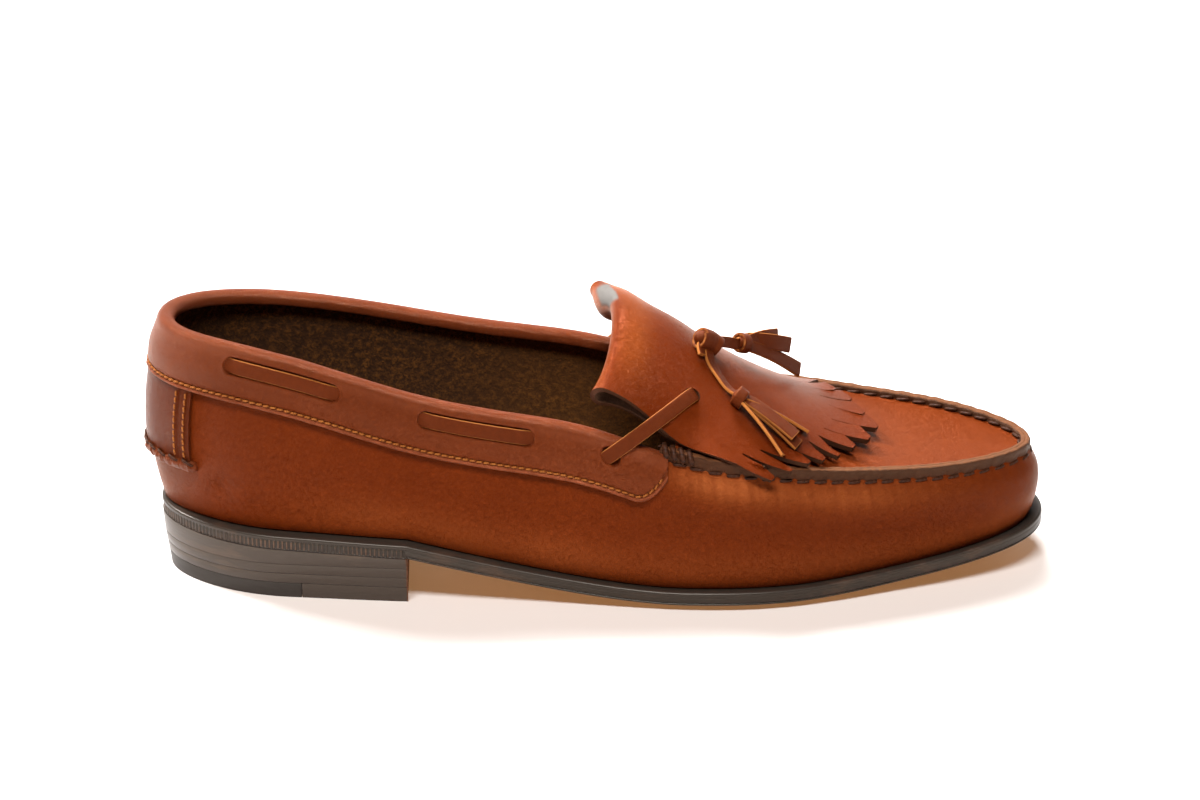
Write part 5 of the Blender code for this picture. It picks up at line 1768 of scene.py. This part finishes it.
@dataclass
class Lace:
    """Leather lace: bars through the band's slits, straps to the flap, knot, two ends and their tassels."""

    last: Last
    collar: Collar
    flap: Flap
    width: float = 4.8
    thick: float = 1.3
    end_width: float = 3.8
    strip_width: float = 5.4
    under_width: float = 3.0
    strap_way: tuple[Place, ...] = ((163.9, 0.962, 1.1), (170.9, 0.769, 0.8))
    knot: Place = (178.6, -0.108, 3.8)
    knot_way: Place = (0.93, 0.2, 0.0)
    tassel_wrap: Winding = Winding(2.7, 3.6, 1.0, 0.8, 0.6)
    knot_back: Winding = Winding(3.0, 4.8, 1.5, 1.2, 0.05)
    knot_front: Winding = Winding(2.8, 4.2, 1.35, 1.0, 0.3)
    tassel_core: Span = (2.2, 5.2)
    knot_core: Span = (2.6, 10.5)
    bar_stand: float = 1.95
    bar_dive: float = 0.95

    def bar(self, side: Side, ends: Span) -> Draft:
        """One lace bar: a strap that comes up from one slit, lies in the band and dives into the next."""
        low, high = ends
        f = np.linspace(0, 1, 60)
        x = np.linspace(low - 1.6, high + 1.6, len(f))
        s = side.value * np.array([self.last.turn_at(value) for value in x])
        top = self.last.controls(s)[3][:, 2]
        dive = ease(low + 5.0, low - 0.5, x) + ease(high - 5.0, high + 0.5, x)
        height = self.bar_stand + 0.15 * np.sin(np.pi * f) - self.bar_dive * dive
        path, normal = self.collar.place(s, top - self.collar.lace_drop)
        return Draft().strap(path + normal * height[:, None], normal, self.width, self.thick)

    def strap(self, side: Side) -> Draft:
        """Strap from the band's front slit over the flap's edge into the hole in the flap."""
        s = np.array([side.value * self.last.turn_at(self.collar.strap_start)])
        top = self.last.controls(s)[3][:, 2]
        (start,), (normal,) = self.collar.place(s, top - self.collar.strap_drop, 1.9)
        way = [self.flap.place(x, side.value * share, above) for x, share, above in self.strap_way]
        end, end_up = self.flap.place(self.flap.hole_x, side.value * self.flap.hole_share, 0.5)
        ahead, out = unit(way[0][0] - start), unit(end - way[1][0])
        points = [start - ahead * 3.4 - normal * 0.9, start, start + ahead * 4.0 + normal * 0.8]
        points += [*(point for point, _ in way), end, end + out * 2.2 - end_up * 2.0]
        path = close_ends(smooth_path(points, 80))
        blend = np.linspace(0, 1, len(path))[:, None]
        face = unit(normal * (1 - blend) + (way[0][1] + end_up) / 2 * blend)
        return Draft().strap(path, face, self.width, self.thick)

    def wind(self, draft: Draft, centre: Array, axis: Array, face: Array, winding: Winding) -> None:
        """Adds a strap wound round an axis, a helix that widens a little towards both ends.

        Args:
            draft: Takes the strap.
            centre: Middle of the winding.
            axis: Direction of the axis.
            face: Direction from which the angle counts.
            winding: Its sizes.
        """
        f = np.linspace(0, 1, int(60 * winding.turns))
        angle = TURN * (winding.start + winding.turns * f)[:, None]
        away = np.cos(angle) * face + np.sin(angle) * np.cross(axis, face)
        spread = winding.radius * (1 + 0.14 * np.abs(f - 0.5) * winding.turns / 2)
        advance = (f - 0.5) * winding.turns * winding.pitch
        path = centre + away * spread[:, None] + axis * advance[:, None]
        draft.strap(path, away, winding.width, self.thick, cut=0.5)

    def core(self, draft: Draft, centre: Array, axis: Array, face: Array, size: Span) -> None:
        """Adds the lace that fills a winding: a round bar with domed ends, by its radius and length."""
        radius, length = size
        f = np.linspace(-1, 1, 13)[:, None, None]
        wide = radius * np.sqrt(np.clip(1 - np.abs(f) ** 5, 0.03, 1))
        turn = circle(20)[:, None]
        ring = np.cos(turn) * face + np.sin(turn) * np.cross(axis, face)
        draft.tube(centre + axis * (f * length / 2) + ring * wide)

    def piece(self, shop: Workshop, name: str, draft: Draft, nodes: Sequence[str] = ()) -> bpy.types.Object:
        """Makes a piece of lace leather."""
        return shop.piece(name, draft, ["lace"], "lace_leather", nodes, sharp=50)

    def build_tassel(self, shop: Workshop, name: str, rows: Tassel) -> None:
        """Makes one lace end as a cord from the knot to its tip, with the winding and the other strips."""
        ends = [self.flap.place(*row)[0] for row in rows.cord]
        knot, _ = self.flap.place(*self.knot)
        centre, up = self.flap.place(*rows.wrap)
        tips = [self.flap.place(*row) for row in rows.tips]
        axis = unit(sum(point for point, _ in tips) / len(tips) - centre)
        tilt = np.cross(up, axis)

        def strip_line(k: int) -> list[Array]:
            """Winding, middle and tip of a strip."""
            point, tip_up = tips[k]
            spread = tilt * (0.5 - k / (len(tips) - 1)) * 1.6
            return [centre + spread, (centre + point) / 2 + (up + tip_up) / 2 * 0.8 + spread * 0.4, point]

        def rolled(turns: float) -> Array:
            """Direction that a strip's broad face looks in when it is rolled by some turns."""
            return math.cos(TURN * turns) * up + math.sin(TURN * turns) * tilt

        first = knot + unit(ends[0] - knot) * 2.4
        path = close_ends(smooth_path([first, *ends, *strip_line(0)], 90))
        length = run_length(path)
        inside = float(np.linalg.norm(path - centre, axis=1).argmin()) / len(path) * length[-1]
        share = ease(inside - 2.0, inside + 4.0, length)[:, None]
        face = unit(rolled(rows.cord_roll) * (1 - share) + rolled(rows.rolls[0]) * share)
        wide = self.end_width + (self.strip_width - self.end_width) * ease(inside, inside + 5.0, length)
        end = Draft().strap(path, face, wide, self.thick)
        cord = self.piece(shop, f"lace_cord_{name}", end, [f"lace_end_{name}"])
        others = Draft()
        for k in range(1, len(tips)):
            line = close_ends(smooth_path(strip_line(k), 40))
            wide = self.strip_width * (0.7 + 0.3 * np.linspace(0, 1, len(line)))
            others.strap(line, rolled(rows.rolls[k]), wide, self.thick)
        strips = self.piece(shop, f"tassel_strips_{name}", others, [f"tassel_{name}"])
        wound, front = Draft(), unit(up - axis * np.dot(up, axis))
        self.wind(wound, centre, axis, front, self.tassel_wrap)
        self.core(wound, centre, axis, front, self.tassel_core)
        wrap = self.piece(shop, f"tassel_wrap_{name}", wound)

    def build_knot(self, shop: Workshop) -> None:
        """Makes the knot: two crossing windings of the lace round a tight core, with a short end under it."""
        centre, up = self.flap.place(*self.knot)
        way = np.array(self.knot_way)
        along = unit(way - up * np.dot(way, up))
        across = np.cross(up, along)
        draft = Draft()
        self.wind(draft, centre - along * 1.2, unit(along + 0.15 * across), up, self.knot_back)
        self.wind(draft, centre + along * 2.6, unit(along - 0.45 * across), up, self.knot_front)
        self.core(draft, centre, along, up, self.knot_core)
        bend = centre - along * 3.0 - across * 3.4 - up * 1.6
        tip = centre - along * 2.6 - across * 6.0 - up * 2.4
        below = close_ends(smooth_path([centre - along * 1.5, bend, tip], 20))
        draft.strap(below, up, self.under_width, self.thick)
        self.piece(shop, "lace_knot_tied", draft, ["lace_knot"])

    def build(self, shop: Workshop) -> None:
        """Makes the whole lace."""
        for side in Side:
            word = side.name.lower()
            for ends, place in zip(self.collar.bars, ("rear", "front")):
                bar = self.bar(side, ends)
                self.piece(shop, f"lace_run_{word}_{place}", bar, [f"lace_bar_{word}_{place}"])
            self.piece(shop, f"lace_tie_{word}", self.strap(side), [f"lace_strap_{word}"])
        self.build_tassel(shop, "outer", OUTER_TASSEL)
        self.build_tassel(shop, "inner", INNER_TASSEL)
        self.build_knot(shop)


@dataclass(frozen=True)
class Softbox:
    """A rectangular lamp that looks at a point, in metres in the row's frame."""

    name: str
    place: Place
    aim: Place
    size: Span
    power: float

    def hang(self) -> None:
        """Adds the lamp to the scene."""
        lamp = bpy.data.lights.new(self.name, "AREA")
        lamp.shape, lamp.energy = "RECTANGLE", self.power
        lamp.size, lamp.size_y = self.size
        made = bpy.data.objects.new(self.name, lamp)
        made.location = self.place
        made.rotation_euler = (Vector(self.aim) - Vector(self.place)).to_track_quat("-Z", "Y").to_euler()
        bpy.context.scene.collection.objects.link(made)


@dataclass
class Studio:
    """Floor, soft light and camera."""

    camera: Place = (113.42, -1248.65, 638.68)
    forward: Place = (0.02372437, 0.90599722, -0.42261826)
    lens: float = 124.74
    sensor: float = 36.0
    floor_half: float = 6.0
    surround: float = 0.02
    lamps: tuple[Softbox, ...] = (
        Softbox("top_back", (-0.2, 0.9, 1.5), (0.0, 0.1, 0.0), (0.7, 0.6), 64.0),
        Softbox("top_front", (-0.2, -0.9, 1.7), (0.0, 0.0, 0.0), (0.9, 0.35), 46.0),
        Softbox("left_back", (-1.0, 0.5, 1.25), (0.0, 0.0, 0.07), (0.3, 0.3), 46.0),
        Softbox("backdrop", (0.0, 2.4, 0.8), (0.0, 0.0, 0.1), (4.0, 1.5), 22.0),
    )

    def floor(self) -> None:
        """A wide pale floor with a weak warm orange glow: a painted glow that stands in for the warm light
        the shoe throws into its shadows.
        """
        half = self.floor_half
        mesh = bpy.data.meshes.new("floor")
        corners = [(-half, -half, 0), (half, -half, 0), (half, half, 0), (-half, half, 0)]
        mesh.from_pydata(corners, [], [(0, 1, 2, 3)])
        made = bpy.data.objects.new("floor", mesh)
        bpy.context.scene.collection.objects.link(made)
        finish = bpy.data.materials.new("pale_floor")
        finish.use_nodes = True
        Tree(finish.node_tree).feed(finish.node_tree.nodes["Principled BSDF"], {
            "Base Color": (0.6, 0.6, 0.6, 1.0),
            "Roughness": 0.55,
            "Specular IOR Level": 0.25,
            # Painted glow: a warm emission that lightens and warms the floor's shadows.
            "Emission Color": (1.0, 0.5, 0.2, 1.0),
            "Emission Strength": 0.22,
        })
        mesh.materials.append(finish)

    def build(self, shop: Workshop) -> None:
        """Sets up the floor, lamps, surround and camera."""
        self.floor()
        for lamp in self.lamps:
            lamp.hang()
        scene = bpy.context.scene
        world = bpy.data.worlds.new("surround")
        world.use_nodes = True
        white = {"Color": (1.0, 1.0, 1.0, 1.0), "Strength": self.surround}
        Tree(world.node_tree).feed(world.node_tree.nodes["Background"], white)
        scene.world = world
        scene.view_settings.view_transform = "Standard"
        eye = bpy.data.cameras.new("camera")
        eye.lens, eye.sensor_width, eye.clip_start, eye.clip_end = self.lens, self.sensor, 0.05, 30.0
        made = bpy.data.objects.new("camera", eye)
        made.location = shop.to_row(np.array(self.camera))
        made.rotation_euler = Vector(self.forward).to_track_quat("-Z", "Y").to_euler()
        scene.collection.objects.link(made)
        scene.camera = made


def main() -> None:
    """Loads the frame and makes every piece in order."""
    logging.basicConfig(level=logging.INFO, format="%(name)s: %(message)s")
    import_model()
    last = Last()
    low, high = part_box("outsole")
    plan = last.outline()
    middle = (low.y + high.y) / 2 - MM * (plan[:, 1].min() + plan[:, 1].max()) / 2
    shop = Workshop(np.array([low.x, middle, 0.0]), make_finishes())
    collar, flap = Collar(last), Flap(last)
    Studio().build(shop)
    Lace(last, collar, flap).build(shop)
    Bottom(last).build(shop)
    Upper(last, collar.height).build(shop)
    collar.build(shop)
    flap.build(shop)


if __name__ == "__main__":
    main()
